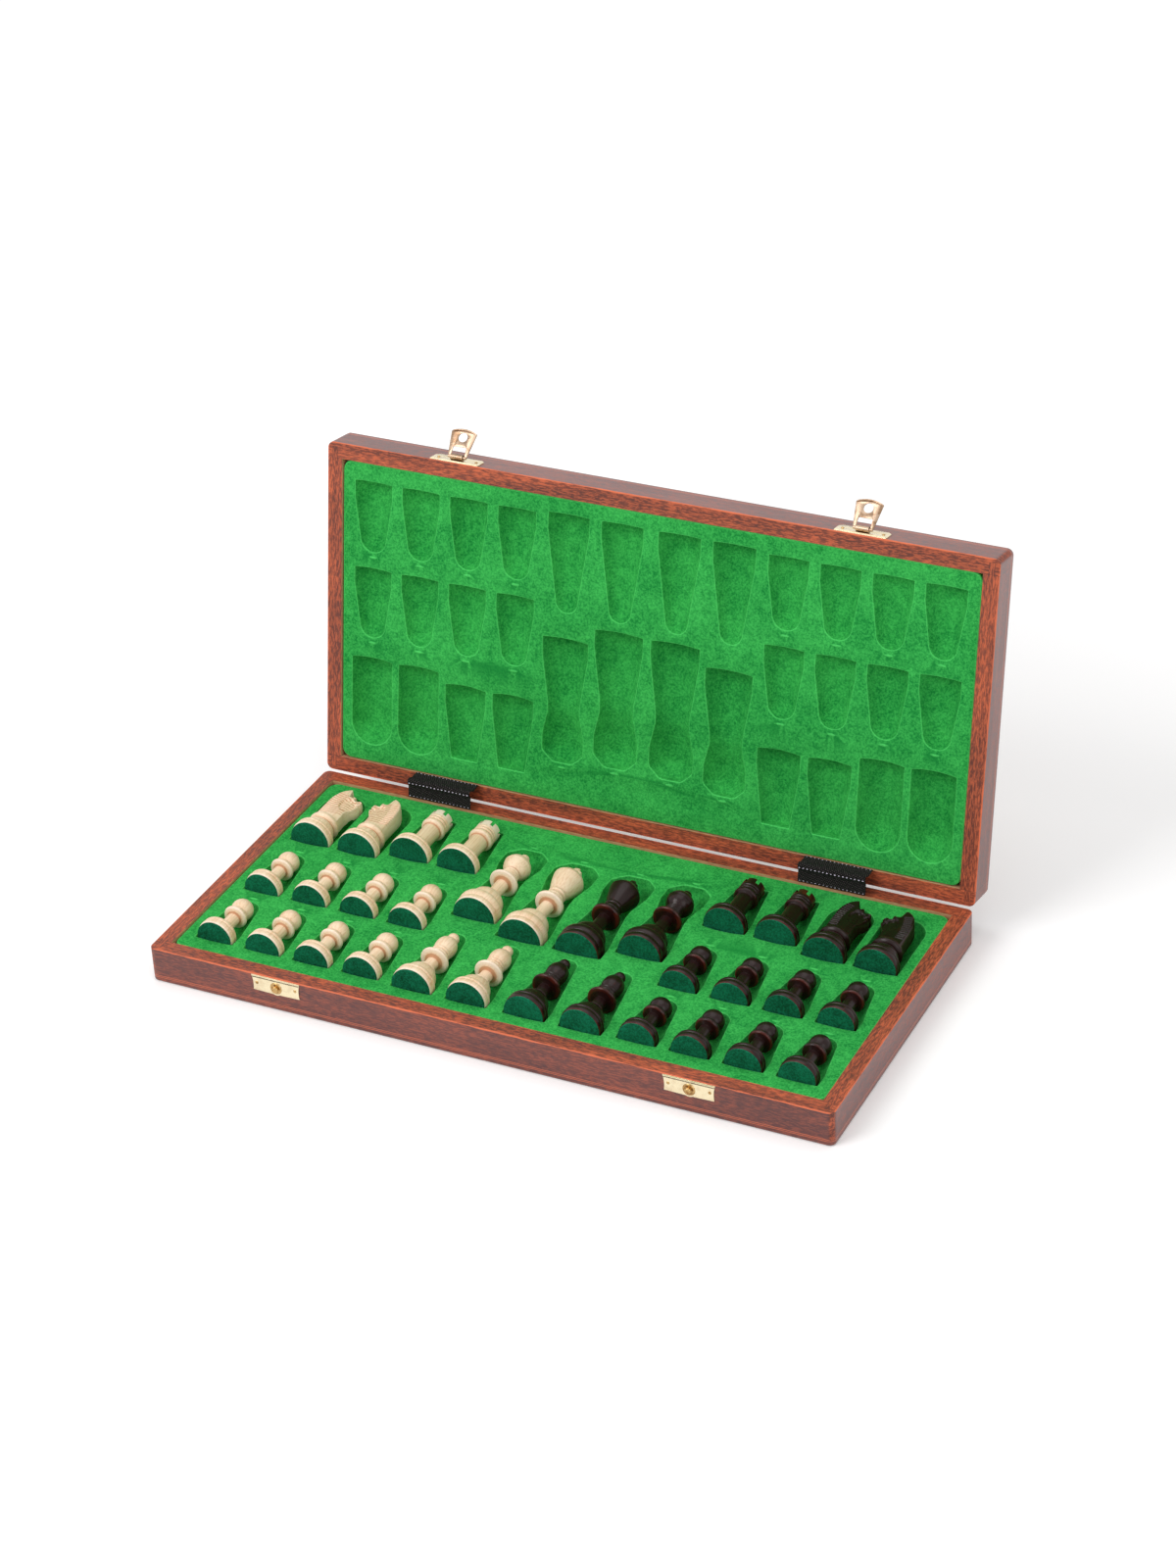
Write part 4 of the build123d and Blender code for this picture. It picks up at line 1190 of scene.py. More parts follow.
def insert_mesh():
    """The flocked insert in a half's own frame: face, skirt, pockets and creases."""
    box = settings()[0]
    shape = bmesh.new()
    proud = shape.verts.layers.float.new("relief")
    level = -box.insert_recess
    axis = box.mouth_gap / 2
    holes = []
    for side in SIDES:
        for kind, _, x, row in MEN_ROWS:
            holes.append(add_pocket(shape, kind, side * x * MM, row * MM, level, axis))
            if kind in ("pawn", "queen", "king"):
                past = row * MM + pocket_size(kind)[1] + 3.4 * MM
                holes.append(add_crease(shape, side * x * MM, past, level))
    half_x = box.box_length / 2 - box.rail - box.insert_gap
    half_y = box.half_depth / 2 - box.rail - box.insert_gap
    edge = box.insert_edge
    rings = []
    steps = 4
    for i in range(steps + 1):
        angle = pi / 2 * i / steps
        inset = edge * (1 - sin(angle))
        outline = rounded_rectangle(half_x - inset, half_y - inset, box.insert_corner - inset)
        rings.append([(px, py, level - edge * (1 - cos(angle))) for px, py in outline])
    floor = box.board - box.half_height
    rings.append([(px, py, floor) for px, py, _ in rings[-1]])
    made = add_grid(shape, rings, closed=True)
    # relief here drives the flock's painted highlight along the insert's rounded edge
    for ring, value in zip(made, (0.2, 0.8, 1.0, 0.7, 0.3)):
        for vert in ring:
            vert[proud] = value
    shape.faces.new(made[-1])
    outer = [(px, py) for px, py, _ in rings[0]]
    outlines = [outer] + holes
    points, edges = [], []
    for outline in outlines:
        start = len(points)
        points += [Vector((px / MM, py / MM)) for px, py in outline]
        count = len(outline)
        edges += [(start + i, start + (i + 1) % count) for i in range(count)]
    verts, _, faces, *_ = delaunay_2d_cdt(points, edges, [], 0, 1e-5)
    flat = [shape.verts.new((v.x * MM, v.y * MM, level)) for v in verts]
    for face in faces:
        middle = sum((verts[i] for i in face), Vector((0, 0))) / len(face) * MM
        if inside(middle, outer) and not any(inside(middle, hole) for hole in holes):
            shape.faces.new([flat[i] for i in face])
    delete_loose(shape)
    return shape


# ------------------------------------------------------------------ men
def run_through(points, turns):
    """Goes on along a profile through turns of (radius, height, swell), in millimetres."""
    for radius, height, swell in turns:
        end = (radius * MM, height * MM)
        if swell:
            points += bulged(points[-1], end, swell * MM, 7)
        else:
            points.append(end)


def foot_profile(radius, shoulder):
    """The foot that all men share: felt seat, swelling band, groove and a second band."""
    men = settings()[1]
    edge = (radius - men.felt_inset) / MM
    points = [((edge - 0.3) * MM, men.felt)]
    run_through(
        points,
        [
            (edge, 1.1, 0),
            (edge + 0.2, 5.2, 0.35),
            (edge - 0.25, 5.5, 0),
            (edge - 0.25, 5.85, 0),
            (edge + 0.15, 6.15, 0),
        ],
    )
    run_through(points, shoulder)
    return points


def add_ball(points, height, steps=14):
    """Adds a ball from the profile's last point up to the top on the axis."""
    r, h = points[-1]
    rise = height - h
    radius = (rise * rise + r * r) / (2 * rise)
    middle = height - radius
    start = degrees(atan2(h - middle, r))
    points += arc((0, middle), radius, start, 90, steps)[1:]
    points[-1] = (0, height)


# Turned outlines above the foot's groove: radius, height over the felt, swell of the run up to it.
PAWN_TURNS = (
    (11.6, 8.9, 0.45), (10.9, 9.3, 0), (10.2, 9.9, 0), (4.4, 16.6, -0.7), (4.35, 26.2, 0),
    (7.5, 26.9, 0), (7.6, 29.7, 0.7), (6.8, 30.3, 0), (6.5, 31.4, 0.15), (5.5, 31.8, 0),
)
BISHOP_TURNS = (
    (12.9, 8.9, 0.45), (12.2, 9.4, 0), (11.4, 10.0, 0), (6.9, 20.2, 1.2), (6.0, 20.5, 0),
    (6.1, 22.2, 0.5), (4.4, 22.7, 0), (4.2, 31.4, 0), (9.1, 32.3, 0), (9.2, 34.6, 0.8),
    (7.0, 34.9, 0), (7.3, 36.4, 0.7), (6.4, 36.9, 0), (6.4, 37.6, 0), (6.5, 39.4, 0.6),
    (5.9, 39.9, 0), (6.0, 40.8, 0), (6.2, 42.4, 0.6), (5.8, 42.8, 0), (7.3, 49.4, 0.5),
    (3.0, 57.0, 1.1),
)
ROOK_TURNS = (
    (13.4, 8.9, 0.45), (12.7, 9.4, 0), (11.9, 9.9, 0), (6.8, 14.6, -0.6), (6.3, 16.0, 0),
    (6.3, 34.4, 0), (8.1, 35.2, 0), (8.2, 38.6, 0.6), (7.6, 39.1, 0), (7.6, 39.6, 0),
    (8.1, 39.9, 0), (8.1, 41.5, 0.2), (7.5, 41.9, 0), (7.5, 42.4, 0), (8.1, 42.8, 0),
    (8.1, 49.7, 0.15), (7.9, 50.0, 0), (5.6, 50.0, 0), (5.4, 49.8, 0), (5.2, 45.4, 0),
    (0, 45.0, 0),
)
CROWNED_FOOT = (
    (12.3, 14.6, 1.9), (11.7, 14.9, 0), (11.7, 15.3, 0), (11.9, 15.6, 0), (5.0, 26.6, 2.5),
    (4.6, 27.8, 0),
)
QUEEN_TURNS = CROWNED_FOOT + (
    (4.4, 42.9, 0), (9.4, 43.5, 0), (9.6, 45.8, 0.8), (7.4, 46.4, 0), (6.6, 48.4, -0.2),
    (6.7, 50.2, 0.6), (6.1, 50.6, 0), (6.3, 52.0, 0.5), (5.7, 52.5, 0), (5.9, 53.9, 0.5),
    (5.3, 54.4, 0), (5.3, 54.9, 0), (5.5, 56.4, 0.5), (5.0, 56.9, 0), (9.5, 63.9, 1.1),
    (9.8, 64.5, 0), (9.6, 65.2, 0), (2.8, 72.0, 1.6), (2.6, 72.5, 0),
)
KING_TURNS = CROWNED_FOOT + (
    (4.5, 42.9, 0), (9.4, 43.7, 0), (9.5, 46.7, 0.8), (7.2, 47.3, 0), (6.9, 48.4, 0),
    (7.0, 50.0, 0.6), (6.3, 50.5, 0), (6.3, 52.4, 0.6), (5.8, 52.9, 0), (5.8, 55.0, 0),
    (6.2, 57.0, 0.5), (6.0, 57.5, 0), (11.0, 72.9, 0.4), (11.1, 73.5, 0), (10.5, 74.5, 0.2),
    (2.6, 80.8, 1.7), (0, 81.2, 0),
)
KNIGHT_TURNS = (
    (13.3, 8.9, 0.45), (12.6, 9.4, 0), (10.1, 9.8, 0), (9.7, 16.4, 0.9), (8.7, 16.9, 0),
    (8.7, 17.6, 0), (10.6, 18.8, 0.1), (10.9, 20.9, 0.4), (10.3, 22.4, 0.2), (8.8, 22.9, 0),
    (0, 23.2, 0),
)
TURNS = {
    "pawn": PAWN_TURNS,
    "bishop": BISHOP_TURNS,
    "rook": ROOK_TURNS,
    "queen": QUEEN_TURNS,
    "king": KING_TURNS,
    "knight": KNIGHT_TURNS,
}
BALL_TOPPED = ("pawn", "bishop", "queen")


def closed_profile(kind):
    """A man's whole profile, from the axis at the seat to the axis at the top."""
    men = settings()[1]
    height, radius = man_size(kind)
    points = [(0, men.felt)] + foot_profile(radius, TURNS[kind])
    if kind in BALL_TOPPED:
        add_ball(points, height)
    return softened(points, men.edge)


def held(profile, reach):
    """The same profile, with a point near each end of its long stretches."""
    points = [profile[0]]
    for (r0, h0), (r1, h1) in zip(profile, profile[1:]):
        share = reach / max(hypot(r1 - r0, h1 - h0), 1e-9)
        if share < 0.4:
            for t in (share, 1 - share):
                points.append((r0 + (r1 - r0) * t, h0 + (h1 - h0) * t))
        points.append((r1, h1))
    return points


def mark_relief(shape, profile):
    """Stores how proud of its surroundings each point stands: edges above 0, grooves below."""
    window = 1.3 * MM
    full_relief = 0.7 * MM

    def surroundings(height):
        total = weight = 0.0
        for (r0, h0), (r1, h1) in zip(profile, profile[1:]):
            span = hypot(r1 - r0, h1 - h0)
            distance = abs((h0 + h1) / 2 - height)
            if distance < window:
                share = span * (1 - distance / window)
                total += (r0 + r1) / 2 * share
                weight += share
        return total / weight if weight else None

    # the woods paint shade in the grooves and highlights on the edges from this
    layer = shape.verts.layers.float["relief"]
    known = {}
    for vert in shape.verts:
        radius = hypot(vert.co.x, vert.co.z)
        key = round(vert.co.y / MM, 2)
        if key not in known:
            known[key] = surroundings(vert.co.y)
        around = known[key]
        if around is not None:
            vert[layer] = max(-1.0, min(1.0, (radius - around) / full_relief))


HORSE_OUTLINE = (  # across and up, the muzzle to the right; the mane side comes last
    (9.2, 22.0), (9.4, 25.0), (9.2, 29.0), (9.0, 32.5), (9.6, 35.6), (10.8, 38.0),
    (12.4, 40.6), (13.8, 44.0), (13.9, 45.6), (12.2, 45.9), (12.2, 46.6), (13.9, 47.0),
    (14.1, 48.6), (13.5, 51.0), (11.9, 51.7), (9.9, 50.5), (8.3, 49.9), (8.2, 52.9),
    (6.7, 53.8), (5.2, 52.2), (4.0, 52.0), (3.0, 54.0), (2.6, 57.4), (1.6, 60.6),
    (-0.7, 59.9), (-3.6, 57.8), (-5.8, 54.6), (-7.5, 50.0), (-8.5, 44.0), (-9.0, 37.5),
    (-9.2, 29.0), (-9.3, 22.0),
)
MANE_LINE = ((-4.6, 28.5), (-5.0, 38.0), (-3.9, 46.5), (-1.6, 55.0))  # middle of the mane's cuts
CARVING = ("relief", "mane_turns", "mane")  # what each point of a man tells his wood


def distance_to_line(point, line, closed):
    """The distance from a point to a line of points, and how far along it the nearest place is."""
    best, along, walked = 1e9, 0.0, 0.0
    pairs = list(zip(line, line[1:] + (line[:1] if closed else [])))
    for a, b in pairs:
        span = b - a
        size = span.length
        t = max(0.0, min(1.0, (point - a).dot(span) / (size * size)))
        distance = (a + span * t - point).length
        if distance < best:
            best, along = distance, walked + t * size
        walked += size
    return best, along


def horse_thickness(point, outline, mane):
    """At a point of the horse's side view: half its thickness, how proud it stands, how many
    mane cuts come before it, and how far it lies in from the outline, up to 1."""
    men = settings()[1]
    edge, _ = distance_to_line(point, outline, True)
    x, height = point
    # the neck is turned, then planed flat on its two sides
    value = min(6.3, sqrt(max(0.5, 9.9**2 - min(abs(x), 9.6) ** 2)))
    # the head narrows a little from the cheek to the muzzle
    if x > 5:
        value = min(6.3, max(value, 6.0)) - (x - 5) * 0.2
    cuts = 0.0
    # the oval cheek is cut flat and lies deeper than the neck
    cheek = Vector(((x - 6.6) / 5.4, (height - 42.5) / 7.6)).length
    if cheek < 1 and x > 0.5:
        value -= 1.1 * min(1.0, (1 - cheek) * 5)
        cuts += 0.5 * max(0.0, 1 - abs(cheek - 0.9) / 0.1)
    # the brow's step above the eye
    brow = (point - Vector((4.2, 50.6))).length
    value += 0.5 * max(0.0, 1 - brow / 2.4)
    # nostril, eye and the line of the mouth
    cuts += 1.1 * max(0.0, 1 - (point - Vector((12.3, 49.2))).length / 1.1)
    cuts += 0.8 * max(0.0, 1 - abs((point - Vector((6.4, 48.3))).length - 1.2) / 0.6)
    if x > 9.6:
        cuts += 0.7 * max(0.0, 1 - abs(height - 46.2 - (x - 12) * 0.1) / 0.6)
    # the mane: a band along the nape, cut across with even grooves
    to_mane, along = distance_to_line(point, mane, False)
    band = 3.1
    turns = along / (men.mane_pitch / MM)
    if 28 < height < 55.5:
        in_mane = max(0.0, min(1.0, (band - to_mane) * 2))
        cuts += 0.7 * max(0.0, 1 - abs(turns % 1.0 - 0.5) / 0.3) * in_mane
    # crisp edges, only a little rounded
    rounding = 1.2
    inward = min(edge / rounding, 1.0)
    value -= cuts + rounding * (1 - sqrt(max(0.0, 1 - (1 - inward) ** 2)))
    # proud drives the woods' painted highlight along the carved edges
    proud = 0.6 * max(0.0, 1 - abs(edge - 0.7) / 0.7)
    return max(value, 0.3), proud, turns, inward


def horse_mesh(facing):
    """The knight's carved head and neck, its middle plane level, as a closed mesh."""
    outline = [Vector(p) for p in divided(list(HORSE_OUTLINE) + [HORSE_OUTLINE[0]], 0.6)[:-1]]
    mane = [Vector(p) for p in MANE_LINE]
    points = list(outline)
    edges = [(i, (i + 1) % len(outline)) for i in range(len(outline))]
    ring = [tuple(p) for p in outline]
    pitch = 0.46
    row = 0
    y = 22.0
    while y < 61:
        x = -9 + (row % 2) * pitch / 2
        while x < 15:
            point = Vector((x, y))
            if inside((x, y), ring) and distance_to_line(point, outline, True)[0] > 0.16:
                points.append(point)
            x += pitch
        y += pitch * 0.87
        row += 1
    verts, _, faces, *_ = delaunay_2d_cdt(points, edges, [], 0, 1e-5)
    shape = bmesh.new()
    for name in CARVING:
        shape.verts.layers.float.new(name)
    layers = [shape.verts.layers.float[name] for name in CARVING]
    carving = [
        (0.0, 0.4, 0.0, 0.0) if distance_to_line(v, outline, True)[0] < 0.02
        else horse_thickness(v, outline, mane)
        for v in verts
    ]
    kept = [f for f in faces if inside(sum((verts[i] for i in f), Vector((0, 0))) / len(f), ring)]
    for side in SIDES:
        level = [
            shape.verts.new((v.x * facing * MM, v.y * MM, side * cut[0] * MM))
            for v, cut in zip(verts, carving)
        ]
        for vert, cut in zip(level, carving):
            for layer, value in zip(layers, cut[1:]):
                vert[layer] = value
        for face in kept:
            corners = [level[i] for i in face]
            shape.faces.new(corners if side * facing > 0 else corners[::-1])
    delete_loose(shape)
    bmesh.ops.remove_doubles(shape, verts=shape.verts, dist=0.001 * MM)
    return to_mesh(shape, "horse")


def slotted(mesh):
    """Cuts the slots across a rook's cap."""
    men = settings()[1]
    height, _ = man_size("rook")
    body = link("cap", mesh)
    cutter = bmesh.new()
    for number in range(3):
        bar = bmesh.ops.create_cube(cutter, size=1)["verts"]
        size = Matrix.Diagonal((40 * MM, 2 * men.slot_depth, men.slot_width, 1))
        around = Matrix.Rotation(number * pi / 3, 4, "Y")
        bmesh.ops.transform(
            cutter, verts=bar, matrix=Matrix.Translation((0, height, 0)) @ around @ size
        )
    tool = link("slots", to_mesh(cutter, "slots"))
    cut = body.modifiers.new("cut", "BOOLEAN")
    cut.operation = "DIFFERENCE"
    cut.solver = "EXACT"
    cut.use_self = True
    cut.object = tool
    result = evaluated_mesh(body)
    discard(body)
    discard(tool)
    return result


def cross_mesh():
    """The king's small faceted finial."""
    height, _ = man_size("king")
    low = height - 8.1 * MM
    half = [(1.6, 0.0), (1.8, 1.2), (4.3, 2.2), (4.4, 4.6), (2.5, 5.5), (1.9, 7.8), (0.7, 8.1)]
    outline = [(x * MM, low + y * MM) for x, y in half]
    outline += [(-x, y) for x, y in reversed(outline)]
    return sheet_metal([outline], 4.4 * MM, 0.8 * MM)


def man_mesh(kind, facing, wood, felt):
    """One man in his own frame: his axis along Y, wood first and felt second."""
    men = settings()[1]
    profile = held(closed_profile(kind), 1.3 * MM)
    body = turned(profile, men.segments, wood)
    if kind == "rook":
        body = slotted(body)
    shape = bmesh.new()
    for name in CARVING:
        shape.verts.layers.float.new(name)
    add_mesh(shape, body, material=0)
    mark_relief(shape, profile)
    if kind == "knight":
        add_mesh(shape, horse_mesh(facing), material=0)
    if kind == "king":
        add_mesh(shape, cross_mesh(), material=0)
    _, radius = man_size(kind)
    rim = radius - men.felt_inset - 0.05 * MM
    disc = [(0, 0), (rim - 0.25 * MM, 0), (rim, 0.25 * MM), (rim, men.felt - 0.02 * MM),
            (0, men.felt - 0.02 * MM)]
    add_mesh(shape, turned(disc, men.segments, felt), material=1)
    bmesh.ops.remove_doubles(shape, verts=shape.verts, dist=0.001 * MM)
    bmesh.ops.recalc_face_normals(shape, faces=shape.faces)
    return to_mesh(shape, kind)


# ------------------------------------------------------------------ brass
def plate_outline(hardware, clipped):
    """A latch plate: clipped corners, or bowed ends with room for the boss at the lower edge."""
    half_x = hardware.plate_length / 2
    top = -hardware.plate_edge_gap
    bottom = top - hardware.plate_height
    corner = (2.4 if clipped else 1.1) * MM
    right = [(half_x - 0.4 * MM, top)]
    lower = []
    if clipped:
        right += [(half_x, top - 1.0 * MM), (half_x, bottom + corner), (half_x - corner, bottom)]
    else:
        right += bulged(right[-1], (half_x - corner, bottom), 0.6 * MM, 6)
        middle = (0, hardware.flap_axis_depth - hardware.stud_distance + 1.0 * MM)
        radius = abs(bottom - middle[1] - 0.9 * MM)
        lower = [p for p in arc(middle, radius, 180, 360, 14) if p[1] < bottom]
    # down the left side, along the bottom and up the right side
    return [(-x, y) for x, y in right] + lower + right[::-1]


def nail_holes(hardware):
    """The plate's nail holes."""
    middle = -hardware.plate_edge_gap - hardware.plate_height / 2
    return [
        arc((side * hardware.nail_spacing / 2, middle), 0.75 * MM, 0, 330, 11) for side in SIDES
    ]


def strip(points, width, thickness):
    """A bent strip: a line of (y, z) points swept along x, with its thickness, as a mesh."""
    shape = bmesh.new()
    normals = []
    for i in range(len(points)):
        before = Vector(points[max(i - 1, 0)])
        after = Vector(points[min(i + 1, len(points) - 1)])
        along = (after - before).normalized()
        normals.append(Vector((-along.y, along.x)))
    edge = min(0.12 * MM, thickness * 0.3)
    half_x, half_t = width / 2, thickness / 2
    section = [
        (-half_x + edge, -half_t), (half_x - edge, -half_t), (half_x, -half_t + edge),
        (half_x, half_t - edge), (half_x - edge, half_t), (-half_x + edge, half_t),
        (-half_x, half_t - edge), (-half_x, -half_t + edge),
    ]
    rows = [
        [(x, p[0] + n.x * t, p[1] + n.y * t) for x, t in section]
        for p, n in zip(points, normals)
    ]
    made = add_grid(shape, rows, closed=True)
    shape.faces.new(made[0])
    shape.faces.new(made[-1][::-1])
    bmesh.ops.recalc_face_normals(shape, faces=shape.faces)
    return to_mesh(shape, "strip")


def plate_lip(hardware):
    """The plate's edge bent outwards along the rim."""
    top = -hardware.plate_edge_gap
    thickness = hardware.plate_thickness
    middle = thickness / 2
    bend = 0.55 * MM
    points = [(top - 2.0 * MM, middle), (top - bend - middle, middle)]
    points += [
        (top - bend - middle + bend * sin(a), middle + bend * (1 - cos(a)))
        for a in (pi / 2 * i / 5 for i in range(1, 6))
    ]
    points.append((points[-1][0], hardware.plate_lip))
    return strip(points, hardware.plate_length - 1.6 * MM, thickness)


def stud_mesh(hardware, brass):
    """The catch plate's ringed boss and its hooked stud, its axis along Y."""
    thickness = hardware.plate_thickness
    r = hardware.stud_radius
    profile = [(0, 0.1 * MM), (4.3 * MM, 0.1 * MM), (4.3 * MM, thickness)]
    profile += bulged(profile[-1], (3.5 * MM, thickness + 0.55 * MM), 0.15 * MM, 3)
    profile += [(3.1 * MM, thickness + 0.5 * MM), (2.7 * MM, thickness + 0.15 * MM)]
    profile += [(r - 0.6 * MM, thickness + 0.15 * MM), (r - 0.6 * MM, 1.9 * MM)]
    profile += bulged(profile[-1], (r, 2.3 * MM), 0.1 * MM, 2)
    profile += bulged(profile[-1], (r - 0.5 * MM, hardware.stud_height - 0.2 * MM), 0.2 * MM, 4)
    profile += [(r - 1.1 * MM, hardware.stud_height), (0.9 * MM, hardware.stud_height)]
    profile += [(0.7 * MM, hardware.stud_height - 0.5 * MM), (0, hardware.stud_height - 0.6 * MM)]
    return turned(softened(profile, 0.12 * MM), 40, brass)


def roll_path(hardware):
    """The rolled tongue, side on: up from the plate, round the flap's bar and back down."""
    radius = (hardware.roll_radius + hardware.bar_radius + 0.08 * MM) / 2
    centre = (-hardware.flap_axis_depth, hardware.flap_axis_height)
    start = [(centre[0] - 3.4 * MM, 0.35 * MM), (centre[0] - 1.6 * MM, 0.4 * MM)]
    around = arc(centre, radius, -112, 205, 26)
    return start + around


def flap_mesh(hardware, brass):
    """A latch flap lying in its own plane, its axis along x at the origin."""
    root, tip = hardware.flap_root / 2, hardware.flap_tip / 2
    shoulder, reach = hardware.flap_shoulder, hardware.flap_reach
    window = 9.8 * MM / 2
    window_top = 7.2 * MM
    outline = [(window, 0.2 * MM), (root - 0.3 * MM, 0), (root, 0.4 * MM)]
    outline += [(tip - 0.2 * MM, shoulder - 0.5 * MM), (tip - 0.1 * MM, shoulder)]
    crown = bulged((tip - 0.1 * MM, shoulder), (-tip + 0.1 * MM, shoulder), reach - shoulder, 16)
    outline += crown
    outline += [(-tip + 0.2 * MM, shoulder - 0.5 * MM), (-root, 0.4 * MM)]
    outline += [(-root + 0.3 * MM, 0), (-window, 0.2 * MM)]
    outline += [(-window, window_top - 0.5 * MM), (-window + 0.5 * MM, window_top)]
    outline += [(window - 0.5 * MM, window_top), (window, window_top - 0.5 * MM)]
    hole = arc((0, hardware.stud_distance), hardware.hole_radius, 0, 352, 45)
    shape = bmesh.new()
    add_mesh(shape, sheet_metal([outline, hole], hardware.flap_thickness, 0.14 * MM))
    # the curled lip that a finger lifts
    inner = [(x * 0.985, y - 0.75 * MM) for x, y in reversed(crown)]
    lip = sheet_metal([crown + inner], 1.5 * MM, 0.16 * MM)
    add_mesh(shape, lip, Matrix.Translation((0, 0, -0.55 * MM)))
    end = -root + 0.2 * MM
    bar = [(0, end), (0.8 * MM, end), (hardware.bar_radius, -root + 0.4 * MM)]
    bar += [(r, -h) for r, h in reversed(bar)]
    rod = turned(bar, 24, brass)
    add_mesh(shape, rod, Matrix.Rotation(pi / 2, 4, "Z"))
    return shape


def nail_part(brass, radius):
    """A domed nail head with a short shank; it points along Z."""
    profile = [(0, -2.4 * MM), (0.55 * MM, -2.0 * MM), (0.55 * MM, 0), (radius, 0)]
    profile += bulged(profile[-1], (0, 0.5 * MM), 0.14 * MM, 5)
    return turned(profile, 20, brass)


def screw_part(brass, radius):
    """A countersunk screw with its slot; it points along Z."""
    profile = [(0, -6.9 * MM), (0.3 * MM, -6.4 * MM)]
    for turn_number in range(7):
        low = (-6.2 + turn_number * 0.7) * MM
        profile += [(0.78 * MM, low), (0.62 * MM, low + 0.35 * MM)]
    profile += [(0.7 * MM, -0.95 * MM), (radius, -0.15 * MM), (radius, 0), (0, 0.02 * MM)]
    return turned(profile, 20, brass)


def small_part(mesh, to_z=True):
    """A small part as an object for scattering, its axis turned from Y to Z."""
    if to_z:
        mesh.transform(Matrix.Rotation(pi / 2, 4, "X"))
    return link("small_part", mesh)


# ------------------------------------------------------------------ straps
def strap_path():
    """The strap's middle line, side on: up its lower flap, over the crease and across."""
    box, _, hardware, _ = settings()
    hinge = hinge_point()
    span = box.rail + box.mouth_gap / 2
    rise = Vector((0, -cos(box.lid_angle), sin(box.lid_angle)))
    outward = Vector((0, -sin(box.lid_angle), -cos(box.lid_angle)))
    seat = hinge + Vector((0, -span, 0))
    crease = seat + rise * span
    skin_gap = 0.05 * MM
    lift = skin_gap + hardware.strap_thickness / 2
    end_gap = 0.35 * MM
    lower = seat + rise * end_gap + outward * lift
    upper = crease + Vector((0, span - end_gap, lift))
    corner = crease + rise * lift * 0.9 + outward * lift
    return seat, crease, rise, outward, lower, corner, upper


def strap_centre_line():
    """Points down the strap's middle, with its crease softly rounded."""
    hardware = settings()[2]
    _, _, _, outward, lower, corner, upper = strap_path()
    soft = 0.9 * MM
    first = corner + (lower - corner).normalized() * soft
    last = corner + (upper - corner).normalized() * soft
    points = [lower.lerp(first, i / 8) for i in range(9)]
    for i in range(1, 6):
        t = i / 6
        points.append(first * (1 - t) ** 2 + corner * 2 * t * (1 - t) + last * t * t)
    points += [last.lerp(upper, i / 8) for i in range(9)]
    # slack over the crease, which lets the strap pass over the hinge when the box lies open
    raised = []
    for point in points:
        side = outward if point.z < corner.z - 0.01 * MM else Vector((0, 0, 1))
        if point in points[9:14]:
            side = (outward + Vector((0, 0, 1))).normalized()
        near = min(1.0, (point - corner).length / hardware.strap_slack_reach)
        raised.append(point + side * hardware.strap_slack * (0.5 + 0.5 * cos(pi * near)))
    return raised


def strap_shape(points, place):
    """One strap, with a map that runs across and along the cloth."""
    hardware = settings()[2]
    shape = bmesh.new()
    layer = shape.loops.layers.uv.new("UVMap")
    half_t = hardware.strap_thickness / 2
    half_x = hardware.strap_width / 2
    edge = 0.2 * MM
    walked = [0.0]
    for a, b in zip(points, points[1:]):
        walked.append(walked[-1] + (b - a).length)
    columns = [-half_x + edge + (2 * half_x - 2 * edge) * i / 24 for i in range(25)]
    section = [(x, -half_t) for x in columns] + [(half_x, 0)]
    section += [(x, half_t) for x in reversed(columns)] + [(-half_x, 0)]
    rows, spots = [], []
    for i, point in enumerate(points):
        along = (points[min(i + 1, len(points) - 1)] - points[max(i - 1, 0)]).normalized()
        normal = Vector((0, -along.z, along.y))
        rows.append([point + Vector((place + x, 0, 0)) + normal * t for x, t in section])
        spots.append([(place + x, walked[i]) for x, _ in section])
    made = [[shape.verts.new(p) for p in row] for row in rows]
    count = len(section)
    for i in range(len(rows) - 1):
        for j in range(count):
            k = (j + 1) % count
            face = shape.faces.new((made[i][j], made[i][k], made[i + 1][k], made[i + 1][j]))
            for loop, spot in zip(face.loops,
                                  (spots[i][j], spots[i][k], spots[i + 1][k], spots[i + 1][j])):
                loop[layer].uv = spot
    for row, spot_row in ((made[0], spots[0]), (made[-1], spots[-1])):
        face = shape.faces.new(row)
        for loop in face.loops:
            loop[layer].uv = spot_row[row.index(loop.vert)]
    return shape


def stitch_part(hardware, thread):
    """One stitch: a short bowed length of thread lying along X."""
    half = hardware.stitch_length / 2
    radius = hardware.stitch_width / 2
    profile = [(0, -half)]
    for i in range(1, 8):
        t = i / 8
        profile.append((radius * sin(pi * t) ** 0.5, -half + 2 * half * t))
    profile.append((0, half))
    mesh = turned(profile, 8, thread)
    mesh.transform(Matrix.Rotation(-pi / 2, 4, "Z"))
    return mesh


